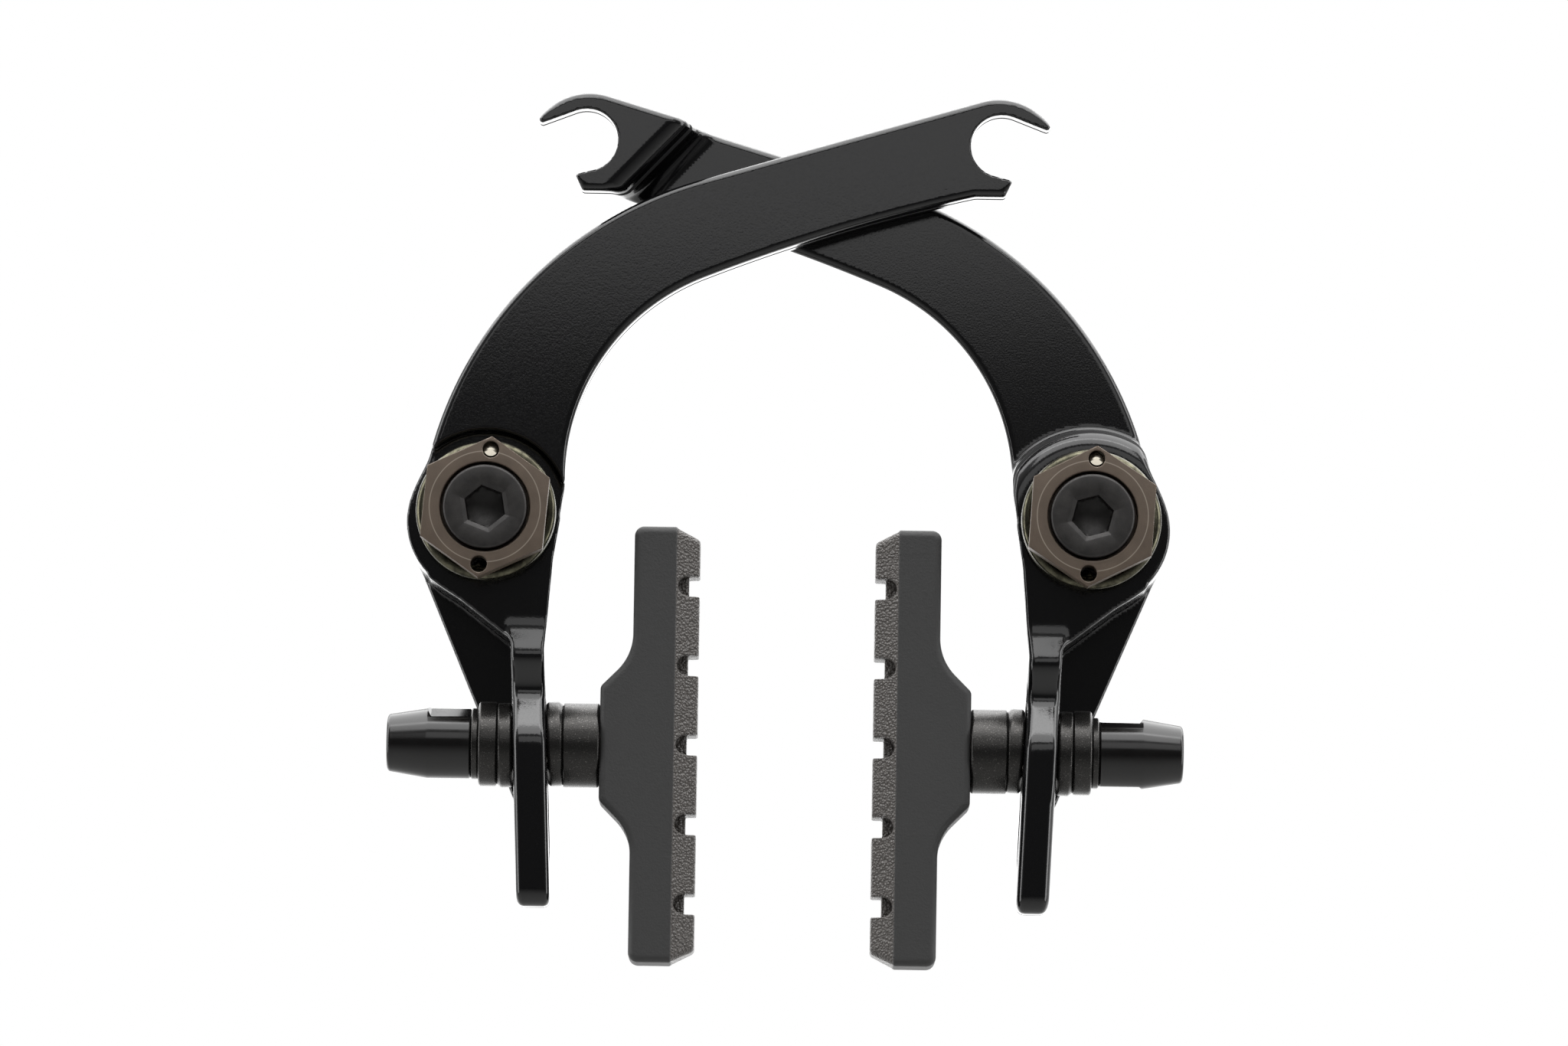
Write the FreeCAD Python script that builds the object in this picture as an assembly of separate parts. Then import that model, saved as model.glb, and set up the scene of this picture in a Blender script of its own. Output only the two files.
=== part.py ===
"""Centre-pull U-brake for a small-wheel bicycle, on two threaded frame posts.

Two crossing arms turn on bushings. Each arm ends in a cable hook above and in a slotted plate below,
which carries a brake shoe on a pair of spherical washers. A torsion spring under a hexagonal nut opens
each arm. Millimetres and degrees. The origin lies midway between the pivot axes on the frame posts'
shoulders, +X to the right, +Y towards the frame and +Z up.
"""
import FreeCAD, Part
import os
from math import acos, asin, atan2, cos, degrees, hypot, radians, sin, sqrt, tan

V = FreeCAD.Vector
ALONG_X = V(1, 0, 0)
ALONG_Y = V(0, 1, 0)
ALONG_Z = V(0, 0, 1)
ORIGIN = V(0, 0, 0)

# Pivots
PIVOT_SPACING = 81.0
BOSS_RADIUS = 10.5
BOSS_BACK = -0.3
SPRING_SEAT = -13.5
BUSHING_RADIUS = 6.0
BUSHING_BORE_RADIUS = 4.5
RUNNING_CLEARANCE = 0.05

# Arm outline, seen from the front with the pivot at zero and U towards the wheel
OUTER_BEND_RADIUS = 52.0
OUTER_BEND_SIDE = -9.2
LIMB_SLOPE = 16.5
INNER_BEND_RADIUS = 29.2
INNER_BEND_TOP = 32.035
INNER_BEND_END = 22.2
LIMB_THICKNESS = 6.5
LIMB_GAP = 0.6
RIGHT_LIMB_BACK = -1.5
BOSS_STEP_RADIUS = 12.7
SPRING_POCKET_RADIUS = 10.9
EDGE_ROUND = 0.7

# Cable hooks
HOOK_U = 68.4
HOOK_Z = 50.35
HOOK_RADIUS = 4.2
HOOK_MOUTH_TOP = 69.0
HOOK_MOUTH_BOTTOM = 256.0
HOOK_MOUTH_LENGTH = 6.4
HOOK_LIP_LENGTH = 2.6
HOOK_LIP_WALL = 2.1
HOOK_CROWN = 5.83
HOOK_HEEL = 3.5
HOOK_HEEL_ROUND = 2.5
HOOK_TIP_ROUND = 0.85
RISER_SETBACK = 7.8
RISER_ANGLE = 43.5
RISER_DRAFT = 1.6
RISER_FOOT_ROUND = 1.5
RISER_BACK_START = -2.0
RISER_BACK_END = 3.4

# Slotted shoe plate under each pivot
POST_DROP = 30.8
PLATE_OFFSET = 6.35
PLATE_THICKNESS = 4.5
PLATE_LEAN = 2.3
PLATE_BOTTOM = -52.8
FINGER_FRONT = -16.6
NECK_FRONT = -11.3
SHOULDER_Z = -15.5
NECK_TOP = -18.2
NECK_BOTTOM = -21.8
FINGER_TOP = -26.0
SHOULDER_ROUND = 2.0
FINGER_ROUND = 3.0
TOE_ROUND = 2.5
HEEL_ROUND = 4.0
SKIRT_SLOPE = 41.6
SKIRT_FOOT = -17.0
WEB_FRONT = -2.6
WEB_FOOT = -38.6
SLOT_WIDTH = 7.0
SLOT_TOP = -24.0
SLOT_BOTTOM = -47.0
SHOE_Y = -9.6

# Spring nut, bolt and torsion spring
NUT_FLATS = 16.0
NUT_HEIGHT = 3.6
NUT_FACE_RADIUS = 7.4
NUT_BEVEL = 0.5
NUT_COUNTERBORE_RADIUS = 6.0
NUT_FLOOR = 0.8
NUT_HOLE_CLEARANCE = 0.125
BOLT_RADIUS = 3.0
BOLT_CLEARANCE = 0.15
BOLT_TAIL = 4.0
BOLT_NECK_RADIUS = 2.6
BOLT_NECK_LENGTH = 1.6
BOLT_HEAD_RADIUS = 5.6
BOLT_HEAD_HEIGHT = 3.3
BOLT_HEAD_BEVEL = 0.35
BOLT_TIP_BEVEL = 0.8
HEX_KEY = 5.0
HEX_DEPTH = 2.3
HEX_DRILL_DEPTH = 1.5
HEX_BEVEL = 0.45
SPRING_WIRE = 1.75
SPRING_RADIUS = 7.9
SPRING_TURNS = 1.5
SPRING_COIL_GAP = 0.19
SPRING_TAIL_HOLE = 0.15
SPRING_TAIL_DEPTH = 3.0
LEFT_NUT_TURN = 5.0
LEFT_KEY_TURN = -9.5
RIGHT_NUT_TURN = -3.3
RIGHT_KEY_TURN = -14.8

# Shoe hardware along the post, measured from the middle of the plate
WASHER_RADIUS = 5.65
BALL_RADIUS = 6.95
BALL_CLEARANCE = 0.1
SEAT_CLEARANCE = 0.02
DOME_BORE_RADIUS = 4.0
CUP_BORE_RADIUS = 3.2
INNER_CUP_END = 9.3
OUTER_CUP_END = 6.9
FLAT_WASHER_RADIUS = 4.75
FLAT_WASHER_THICKNESS = 1.0
POST_RADIUS = 3.0
POST_CLEARANCE = 0.05
POST_END = 15.0
ANCHOR_RADIUS = 4.6
ANCHOR_THICKNESS = 1.5
ANCHOR_DEPTH = 3.0
PAD_NUT_RADIUS = 4.75
PAD_NUT_TIP_RADIUS = 3.9
PAD_NUT_COLLAR = 5.9
PAD_NUT_LENGTH = 11.3
PAD_NUT_FLATS = 8.6
PAD_NUT_FLAT_LENGTH = 3.4
PAD_NUT_BEVEL = 0.4
PAD_NUT_TURN = 20.0

# Rubber pad
PAD_LENGTH = 58.4
PAD_DEPTH = 10.4
PAD_SEAT_GAP = 0.05
PAD_HUMP_HEIGHT = 4.25
PAD_HUMP_LENGTH = 15.3
PAD_BACK_LAYER = 5.7
PAD_TREAD = 3.1
PAD_FILLET = 7.0
PAD_HUMP_ROUND = 0.7
PAD_CORNER_ROUND = 1.5
PAD_TAPER = 1.5
GROOVE_COUNT = 5
GROOVE_PITCH = 10.65
GROOVE_WIDTH = 2.65
GROOVE_DEPTH = 1.43
SCOOP_DEPTH = 2.9
SCOOP_LENGTH = 2.2

# Levels and places that follow from the sizes above
OUTER_BEND_U = OUTER_BEND_SIDE + OUTER_BEND_RADIUS
CROWN_START = (HOOK_U - HOOK_HEEL, HOOK_Z + HOOK_CROWN)
TOP_EDGE_Z = CROWN_START[1] + (OUTER_BEND_U - CROWN_START[0]) * tan(radians(LIMB_SLOPE))
OUTER_BEND_Z = TOP_EDGE_Z - OUTER_BEND_RADIUS / cos(radians(LIMB_SLOPE))
INNER_BEND_U = BOSS_RADIUS + INNER_BEND_RADIUS
INNER_BEND_Z = INNER_BEND_TOP - INNER_BEND_RADIUS * cos(radians(INNER_BEND_END))
RIGHT_LIMB_FRONT = RIGHT_LIMB_BACK - LIMB_THICKNESS
LEFT_LIMB_BACK = RIGHT_LIMB_FRONT - LIMB_GAP
LEFT_LIMB_FRONT = LEFT_LIMB_BACK - LIMB_THICKNESS
WIRE_RADIUS = 0.5 * SPRING_WIRE
COIL_HEIGHT = SPRING_TURNS * (SPRING_WIRE + SPRING_COIL_GAP)
COIL_BACK = SPRING_SEAT - SEAT_CLEARANCE - WIRE_RADIUS
NUT_BACK = COIL_BACK - COIL_HEIGHT - WIRE_RADIUS - SEAT_CLEARANCE
NUT_FRONT = NUT_BACK - NUT_HEIGHT
HEAD_BACK = NUT_BACK - NUT_FLOOR
HEAD_FRONT = HEAD_BACK - BOLT_HEAD_HEIGHT
HOOK_CENTRE = (HOOK_U, HOOK_Z)
SHOE_CENTRE = V(PLATE_OFFSET, SHOE_Y, -POST_DROP)
PAD_NUT_START = OUTER_CUP_END + FLAT_WASHER_THICKNESS
PAD_HUMP_BACK = INNER_CUP_END + PAD_SEAT_GAP
PAD_BACK = PAD_HUMP_BACK + PAD_HUMP_HEIGHT
PAD_RIM = PAD_BACK + PAD_BACK_LAYER
PAD_FACE = PAD_RIM + PAD_TREAD
ANCHOR_START = PAD_HUMP_BACK + ANCHOR_DEPTH
FAR = 200.0
PAST = 1.0
SAME_POINT = 1e-6
SAME_DEPTH = 1e-3
CREST_ANGLE = 20.0
WIRE_JOIN = 1e-3


def at(point, y=0.0):
    """A front-view point (u, z) as a vector at depth y."""
    return V(point[0], y, point[1])


def polar(centre, radius, angle):
    """The point at an angle and a distance from a centre."""
    return (centre[0] + radius * cos(radians(angle)), centre[1] + radius * sin(radians(angle)))


def line(start, end):
    """A straight front-view edge."""
    return Part.LineSegment(at(start), at(end)).toShape()


def arc(start, middle, end):
    """A front-view arc through three points."""
    return Part.Arc(at(start), at(middle), at(end)).toShape()


def round_arc(centre, radius, first, last):
    """A front-view arc about a centre between two angles."""
    middle = 0.5 * (first + last)
    return arc(polar(centre, radius, first), polar(centre, radius, middle), polar(centre, radius, last))


def rounded_edges(corners):
    """Edges of a closed polygon whose corners (a, b, radius) are rounded by tangent arcs."""
    stops = []
    for index, (a, b, radius) in enumerate(corners):
        before = corners[index - 1]
        after = corners[(index + 1) % len(corners)]
        in_a, in_b = before[0] - a, before[1] - b
        out_a, out_b = after[0] - a, after[1] - b
        in_length = hypot(in_a, in_b)
        out_length = hypot(out_a, out_b)
        half = 0.5 * acos((in_a * out_a + in_b * out_b) / (in_length * out_length))
        run = radius / tan(half)
        mid_a = in_a / in_length + out_a / out_length
        mid_b = in_b / in_length + out_b / out_length
        bite = (radius / sin(half) - radius) / hypot(mid_a, mid_b)
        start = (a + in_a / in_length * run, b + in_b / in_length * run)
        middle = (a + mid_a * bite, b + mid_b * bite)
        end = (a + out_a / out_length * run, b + out_b / out_length * run)
        stops.append((start, middle, end, radius))
    edges = []
    for index, (start, middle, end, radius) in enumerate(stops):
        if radius > 0:
            edges.append(arc(start, middle, end))
        following = stops[(index + 1) % len(stops)][0]
        if hypot(following[0] - end[0], following[1] - end[1]) > SAME_POINT:
            edges.append(line(end, following))
    return edges


def slab(edges, front, back):
    """A front-view outline made into a plate between two depths."""
    face = Part.Face(Part.Wire(edges))
    face.translate(V(0, back, 0))
    return face.extrude(V(0, front - back, 0))


def rounded_slab(corners, front, back):
    """A plate with a rounded polygon as its outline."""
    return slab(rounded_edges(corners), front, back)


def rod(radius, front, back, u=0.0, z=0.0):
    """A round bar along Y between two depths."""
    return Part.makeCylinder(radius, back - front, V(u, front, z), ALONG_Y)


def hexagon(flats, front, back, first_corner):
    """A hexagonal bar along Y, with one corner at a given angle in the front view."""
    corners = [polar((0, 0), flats / sqrt(3), first_corner + 60 * side) for side in range(6)]
    return rounded_slab([(u, z, 0) for u, z in corners], front, back)


def revolve_y(corners):
    """A turned piece about the Y axis from a section (radius, depth, corner radius)."""
    face = Part.Face(Part.Wire(rounded_edges(corners)))
    face.rotate(ORIGIN, ALONG_X, -90)
    return face.revolve(ORIGIN, ALONG_Y, 360)


def tangent_point(target, radius, side):
    """Where a line from a target point touches a circle about the pivot, on one side of it."""
    distance = hypot(target[0], target[1])
    direction = degrees(atan2(target[1], target[0]))
    return polar((0, 0), radius, direction + side * degrees(acos(radius / distance)))


def plate_u(z, across):
    """U of the leaning shoe plate at a height, at a distance across from its middle."""
    return PLATE_OFFSET - (z + POST_DROP) * tan(radians(PLATE_LEAN)) + across / cos(radians(PLATE_LEAN))


def tangent_arc(start, direction, end):
    """A front-view arc that leaves a point in a direction and bends clockwise to an end point."""
    run_u = end[0] - start[0]
    run_z = end[1] - start[1]
    drop = run_u * sin(radians(direction)) - run_z * cos(radians(direction))
    radius = (run_u**2 + run_z**2) / (2 * drop)
    centre = polar(start, radius, direction - 90)
    first = direction + 90
    last = degrees(atan2(end[1] - centre[1], end[0] - centre[0]))
    return round_arc(centre, radius, first, last)


def hook_points():
    """Corners of the cable hook: mouth top and bottom, beak, lip top and bottom, and heel."""
    mouth_top = polar(HOOK_CENTRE, HOOK_RADIUS, HOOK_MOUTH_TOP)
    mouth_bottom = polar(HOOK_CENTRE, HOOK_RADIUS, HOOK_MOUTH_BOTTOM)
    beak = polar(mouth_top, HOOK_MOUTH_LENGTH, HOOK_MOUTH_TOP - 90)
    lip_top = polar(mouth_bottom, HOOK_LIP_LENGTH, HOOK_MOUTH_BOTTOM + 90)
    lip_bottom = polar(lip_top, HOOK_LIP_WALL, HOOK_MOUTH_BOTTOM)
    heel = (HOOK_U - HOOK_HEEL, lip_bottom[1])
    return mouth_top, mouth_bottom, beak, lip_top, lip_bottom, heel


def limb_edges():
    """The arm above its pivot: two bends, a tapering limb and the cable hook at its end."""
    mouth_top, mouth_bottom, beak, lip_top, lip_bottom, heel = hook_points()
    outer_centre = (OUTER_BEND_U, OUTER_BEND_Z)
    root_angle = 180 + degrees(asin(OUTER_BEND_Z / OUTER_BEND_RADIUS))
    root_outer = polar(outer_centre, OUTER_BEND_RADIUS, root_angle)
    bend_top = polar(outer_centre, OUTER_BEND_RADIUS, 90 + LIMB_SLOPE)
    inner_centre = (INNER_BEND_U, INNER_BEND_Z)
    inner_top = polar(inner_centre, INNER_BEND_RADIUS, 90 + INNER_BEND_END)
    inner_side = polar(inner_centre, INNER_BEND_RADIUS, 180)
    root_inner = (BOSS_RADIUS, 0.0)
    return [
        round_arc(outer_centre, OUTER_BEND_RADIUS, root_angle, 90 + LIMB_SLOPE),
        line(bend_top, CROWN_START),
        tangent_arc(CROWN_START, LIMB_SLOPE, beak),
        line(beak, mouth_top),
        round_arc(HOOK_CENTRE, HOOK_RADIUS, HOOK_MOUTH_TOP, HOOK_MOUTH_BOTTOM),
        line(mouth_bottom, lip_top),
        line(lip_top, lip_bottom),
        line(lip_bottom, heel),
        tangent_arc(inner_top, INNER_BEND_END, heel),
        round_arc(inner_centre, INNER_BEND_RADIUS, 90 + INNER_BEND_END, 180),
        line(inner_side, root_inner),
        line(root_inner, root_outer),
    ]


def corner_edges(shape, points):
    """The edges of a plate that run front to back at some front-view points."""
    chosen = []
    for edge in shape.Edges:
        middle = edge.CenterOfMass
        for point in points:
            if hypot(middle.x - point[0], middle.z - point[1]) < SAME_POINT:
                chosen.append(edge)
    return chosen


def limb_slab(front, back):
    """The limb as a plate between two depths, with the hook's corners rounded."""
    plate = slab(limb_edges(), front, back)
    _, _, beak, lip_top, lip_bottom, heel = hook_points()
    plate = plate.makeFillet(HOOK_TIP_ROUND, corner_edges(plate, [beak, lip_top, lip_bottom]))
    return plate.makeFillet(HOOK_HEEL_ROUND, corner_edges(plate, [heel]))


def normal_at(face, point):
    """A face's outward normal at a point on it."""
    return face.normalAt(*face.Surface.parameter(point))


def rim_edges(limb):
    """Edges of a limb where its front or back turns into its sides, and the crests of its risers."""
    chosen = []
    for edge in limb.Edges:
        point = edge.valueAt(0.5 * (edge.FirstParameter + edge.LastParameter))
        normals = [normal_at(face, point) for face in limb.ancestorsOfType(edge, Part.Face)]
        walls = [abs(normal.y) < SAME_DEPTH for normal in normals]
        crest = not any(walls) and normals[0].getAngle(normals[1]) > radians(CREST_ANGLE)
        if point.z > SAME_DEPTH and (walls.count(True) == 1 or crest):
            chosen.append(edge)
    return chosen


def lower_arm():
    """The boss with the skirt, the leaning slotted plate and the thin web that braces it behind."""
    half = 0.5 * PLATE_THICKNESS
    skirt_angle = 270 - SKIRT_SLOPE
    skirt_top = polar((0, 0), BOSS_RADIUS, skirt_angle)
    inner_top = (plate_u(NECK_TOP, half), NECK_TOP)
    front_outline = [
        (0, 0, 0),
        (skirt_top[0], skirt_top[1], 0),
        (plate_u(SKIRT_FOOT, -half), SKIRT_FOOT, 0),
        (plate_u(PLATE_BOTTOM, -half), PLATE_BOTTOM, 0),
        (plate_u(PLATE_BOTTOM, half), PLATE_BOTTOM, 0),
        (inner_top[0], inner_top[1], 0),
        tangent_point(inner_top, BOSS_RADIUS, 1) + (0,),
    ]
    side_profile = [
        (SPRING_SEAT, BOSS_RADIUS, 0),
        (SPRING_SEAT, SHOULDER_Z, SHOULDER_ROUND),
        (NECK_FRONT, NECK_TOP, SHOULDER_ROUND),
        (NECK_FRONT, NECK_BOTTOM, SHOULDER_ROUND),
        (FINGER_FRONT, FINGER_TOP, FINGER_ROUND),
        (FINGER_FRONT, PLATE_BOTTOM, TOE_ROUND),
        (BOSS_BACK, PLATE_BOTTOM, HEEL_ROUND),
        (BOSS_BACK, BOSS_RADIUS, 0),
    ]
    profile = rounded_slab(side_profile, -FAR, FAR)
    profile.rotate(ORIGIN, ALONG_Z, 90)
    body = rounded_slab(front_outline, FINGER_FRONT, BOSS_BACK).common(profile)
    web_foot = (plate_u(WEB_FOOT, -half), WEB_FOOT)
    web_top = tangent_point(web_foot, BOSS_RADIUS, -1)
    web_outline = [(0, 0, 0), web_top + (0,), web_foot + (0,), (PLATE_OFFSET, WEB_FOOT, 0)]
    web = rounded_slab(web_outline, WEB_FRONT, BOSS_BACK)
    boss = rod(BOSS_RADIUS, SPRING_SEAT, BOSS_BACK)
    return body.fuse([web, boss])


def arm_holes(nut_turn):
    """What is cut from an arm: the pivot bore, the post's slot and the hole for the spring's tail."""
    bore = rod(BUSHING_RADIUS + RUNNING_CLEARANCE, -FAR, FAR)
    slot_round = 0.5 * SLOT_WIDTH
    slot_outline = [
        (SHOE_Y - slot_round, SLOT_TOP, slot_round),
        (SHOE_Y + slot_round, SLOT_TOP, slot_round),
        (SHOE_Y + slot_round, SLOT_BOTTOM, slot_round),
        (SHOE_Y - slot_round, SLOT_BOTTOM, slot_round),
    ]
    slot = rounded_slab(slot_outline, -FAR, FAR)
    slot.rotate(ORIGIN, ALONG_Z, 90)
    tail = polar((0, 0), SPRING_RADIUS, 270 - nut_turn)
    tail_end = COIL_BACK + SPRING_TAIL_DEPTH + PAST
    tail_hole = rod(WIRE_RADIUS + SPRING_TAIL_HOLE, SPRING_SEAT - PAST, tail_end, tail[0], tail[1])
    return [bore, slot, tail_hole]


def left_arm_body():
    """The front arm: a flat limb with a spring pocket in front and the boss stepping back behind."""
    limb = limb_slab(LEFT_LIMB_FRONT, LEFT_LIMB_BACK)
    limb = limb.makeFillet(EDGE_ROUND, rim_edges(limb))
    pocket = rod(SPRING_POCKET_RADIUS, -FAR, SPRING_SEAT)
    step = slab(limb_edges(), SPRING_SEAT, BOSS_BACK).common(rod(BOSS_STEP_RADIUS, SPRING_SEAT, BOSS_BACK))
    return limb.cut(pocket).fuse([step, lower_arm()])


def riser_slab(corners):
    """A prism across the right arm's riser, from a section (distance past the riser, depth, radius)."""
    prism = rounded_slab(corners, -FAR, FAR)
    prism.rotate(ORIGIN, ALONG_X, -90)
    prism.rotate(ORIGIN, ALONG_Y, -RISER_ANGLE)
    foot = polar(HOOK_CENTRE, -RISER_SETBACK, RISER_ANGLE)
    prism.translate(at(foot))
    return prism


def right_arm_body():
    """The rear arm: a set-back limb whose hook end rises forward into the front arm's plane."""
    blank = limb_slab(LEFT_LIMB_FRONT, RIGHT_LIMB_BACK)
    front_cut = riser_slab([
        (-FAR, RIGHT_LIMB_FRONT, 0),
        (-RISER_DRAFT, RIGHT_LIMB_FRONT, RISER_FOOT_ROUND),
        (0, LEFT_LIMB_FRONT, 0),
        (0, -FAR, 0),
        (-FAR, -FAR, 0),
    ])
    back_cut = riser_slab([
        (FAR, LEFT_LIMB_BACK, 0),
        (RISER_BACK_END, LEFT_LIMB_BACK, RISER_FOOT_ROUND),
        (RISER_BACK_START, RIGHT_LIMB_BACK, 0),
        (RISER_BACK_START, FAR, 0),
        (FAR, FAR, 0),
    ])
    limb = blank.cut([front_cut, back_cut])
    limb = limb.makeFillet(EDGE_ROUND, rim_edges(limb))
    step = slab(limb_edges(), SPRING_SEAT, BOSS_BACK).common(rod(BOSS_STEP_RADIUS, SPRING_SEAT, BOSS_BACK))
    return limb.fuse([step, lower_arm()])


def place(shape, side):
    """A piece drawn in the arm's own view, moved to the left (-1) or right (+1) pivot."""
    moved = shape.copy()
    if side > 0:
        moved = moved.mirror(ORIGIN, ALONG_X)
    moved.translate(V(0.5 * side * PIVOT_SPACING, 0, 0))
    return moved


def bushing():
    """The plain sleeve that an arm turns on, pushed over the frame's post."""
    tube = rod(BUSHING_RADIUS, NUT_BACK, 0)
    return tube.cut(rod(BUSHING_BORE_RADIUS, -FAR, FAR))


def hex_socket(front, first_corner):
    """A hexagonal key socket that opens at a front depth, with a bevelled rim."""
    corner = HEX_KEY / sqrt(3)
    socket = hexagon(HEX_KEY, front - PAST, front + HEX_DEPTH, first_corner)
    rim = Part.makeCone(corner + HEX_BEVEL, 0, corner + HEX_BEVEL, V(0, front, 0), ALONG_Y)
    rim = rim.common(hexagon(HEX_KEY + 2 * HEX_BEVEL, front, front + HEX_DEPTH, first_corner))
    drill = Part.makeCone(0.5 * HEX_KEY, 0, HEX_DRILL_DEPTH, V(0, front + HEX_DEPTH, 0), ALONG_Y)
    return socket.fuse([rim, drill])


def pivot_bolt(turn):
    """A low-head socket screw that clamps the nut and the bushing against the frame's post."""
    section = [
        (0, HEAD_FRONT, 0),
        (BOLT_HEAD_RADIUS - BOLT_HEAD_BEVEL, HEAD_FRONT, 0),
        (BOLT_HEAD_RADIUS, HEAD_FRONT + BOLT_HEAD_BEVEL, 0),
        (BOLT_HEAD_RADIUS, HEAD_BACK, 0),
        (BOLT_NECK_RADIUS, HEAD_BACK, 0),
        (BOLT_NECK_RADIUS, HEAD_BACK + BOLT_NECK_LENGTH, 0),
        (BOLT_RADIUS, HEAD_BACK + BOLT_NECK_LENGTH, 0),
        (BOLT_RADIUS, BOLT_TAIL - BOLT_TIP_BEVEL, 0),
        (BOLT_RADIUS - BOLT_TIP_BEVEL, BOLT_TAIL, 0),
        (0, BOLT_TAIL, 0),
    ]
    return revolve_y(section).cut(hex_socket(HEAD_FRONT, 90 - turn))


def spring_nut(turn):
    """The hexagonal nut that holds the spring's front tail in one of two small holes."""
    body = hexagon(NUT_FLATS, NUT_FRONT, NUT_BACK, 90 - turn)
    corner = NUT_FLATS / sqrt(3)
    bevel_section = [
        (0, NUT_FRONT, 0),
        (NUT_FACE_RADIUS, NUT_FRONT, 0),
        (corner + NUT_BEVEL, NUT_FRONT + NUT_BEVEL, 0),
        (corner + NUT_BEVEL, NUT_BACK, 0),
        (0, NUT_BACK, 0),
    ]
    body = body.common(revolve_y(bevel_section))
    holes = [rod(BOLT_RADIUS + BOLT_CLEARANCE, -FAR, FAR), rod(NUT_COUNTERBORE_RADIUS, -FAR, HEAD_BACK)]
    for angle in (90 - turn, 270 - turn):
        u, z = polar((0, 0), SPRING_RADIUS, angle)
        holes.append(rod(WIRE_RADIUS + NUT_HOLE_CLEARANCE, -FAR, FAR, u, z))
    return body.cut(holes)


def torsion_spring(turn):
    """A short coil round the bushing, with its front tail in the nut and its rear tail in the arm."""
    coil = Part.makeLongHelix(SPRING_WIRE + SPRING_COIL_GAP, COIL_HEIGHT, SPRING_RADIUS)
    ring = Part.Wire(Part.makeCircle(WIRE_RADIUS, V(SPRING_RADIUS, 0, 0), ALONG_Y))
    body = Part.Wire(coil).makePipeShell([ring], True, True)
    front_end = V(-SPRING_RADIUS, 0, COIL_HEIGHT)
    back_end = V(SPRING_RADIUS, 0, 0)
    tail_front = Part.makeCylinder(WIRE_RADIUS, NUT_HEIGHT + WIRE_RADIUS, front_end, ALONG_Z)
    tail_back = Part.makeCylinder(WIRE_RADIUS, SPRING_TAIL_DEPTH, back_end, -ALONG_Z)
    elbow_front = Part.makeSphere(WIRE_RADIUS, front_end)
    elbow_back = Part.makeSphere(WIRE_RADIUS, back_end)
    body = body.fuse([tail_front, elbow_front, tail_back, elbow_back], WIRE_JOIN)
    body.rotate(ORIGIN, ALONG_X, 90)
    body.rotate(ORIGIN, ALONG_Y, 90 + turn)
    body.translate(V(0, COIL_BACK, 0))
    return body


def along_post(shape):
    """A turned piece drawn along Y, laid along the shoe's post with Y towards the wheel."""
    laid = shape.copy()
    laid.rotate(ORIGIN, ALONG_Z, -90)
    laid.translate(SHOE_CENTRE)
    return laid


def dome_washer(side):
    """A washer with a flat face on the leaning plate and a ball-shaped face away from it."""
    seat = 0.5 * PLATE_THICKNESS + SEAT_CLEARANCE
    blank = rod(WASHER_RADIUS, seat, BALL_RADIUS + PAST)
    dome = blank.common(Part.makeSphere(BALL_RADIUS)).cut(rod(DOME_BORE_RADIUS, -FAR, FAR))
    if side < 0:
        dome.rotate(ORIGIN, ALONG_Z, 180)
    dome.rotate(ORIGIN, ALONG_X, PLATE_LEAN)
    return along_post(dome)


def cup_washer(side, end):
    """A washer hollowed to sit on a dome, flat at its far end."""
    hollow = Part.makeSphere(BALL_RADIUS + BALL_CLEARANCE)
    start = sqrt((BALL_RADIUS + BALL_CLEARANCE)**2 - WASHER_RADIUS**2)
    cup = rod(WASHER_RADIUS, start, end).cut([hollow, rod(CUP_BORE_RADIUS, -FAR, FAR)])
    if side < 0:
        cup.rotate(ORIGIN, ALONG_Z, 180)
    return along_post(cup)


def flat_washer():
    """The thin washer under the pad nut."""
    washer = rod(FLAT_WASHER_RADIUS, -PAD_NUT_START, -OUTER_CUP_END)
    return along_post(washer.cut(rod(CUP_BORE_RADIUS, -FAR, FAR)))


def pad_nut():
    """A long nut with two wrench flats, a tapered nose and a key socket in its end."""
    end = PAD_NUT_START + PAD_NUT_LENGTH
    section = [
        (0, -end, 0),
        (PAD_NUT_TIP_RADIUS - PAD_NUT_BEVEL, -end, 0),
        (PAD_NUT_TIP_RADIUS, PAD_NUT_BEVEL - end, 0),
        (PAD_NUT_RADIUS, -PAD_NUT_START - PAD_NUT_COLLAR, 0),
        (PAD_NUT_RADIUS, -PAD_NUT_START, 0),
        (0, -PAD_NUT_START, 0),
    ]
    body = revolve_y(section)
    flats_start = -PAD_NUT_START - PAD_NUT_COLLAR
    for side in (-1, 1):
        middle = side * (0.5 * PAD_NUT_FLATS + FAR)
        flat = Part.makeBox(2 * FAR, PAD_NUT_FLAT_LENGTH, 2 * FAR, V(-FAR, flats_start, middle - FAR))
        flat.rotate(ORIGIN, ALONG_Y, PAD_NUT_TURN)
        body = body.cut(flat)
    bore = rod(POST_RADIUS + POST_CLEARANCE, -POST_END - POST_CLEARANCE, FAR)
    return along_post(body.cut([bore, hex_socket(-end, 90)]))


def pad_post():
    """The threaded post with the flange that anchors it in the rubber."""
    section = [
        (0, -POST_END, 0),
        (POST_RADIUS, -POST_END, 0),
        (POST_RADIUS, ANCHOR_START, 0),
        (ANCHOR_RADIUS, ANCHOR_START, 0),
        (ANCHOR_RADIUS, ANCHOR_START + ANCHOR_THICKNESS, 0),
        (0, ANCHOR_START + ANCHOR_THICKNESS, 0),
    ]
    return along_post(revolve_y(section))


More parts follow.
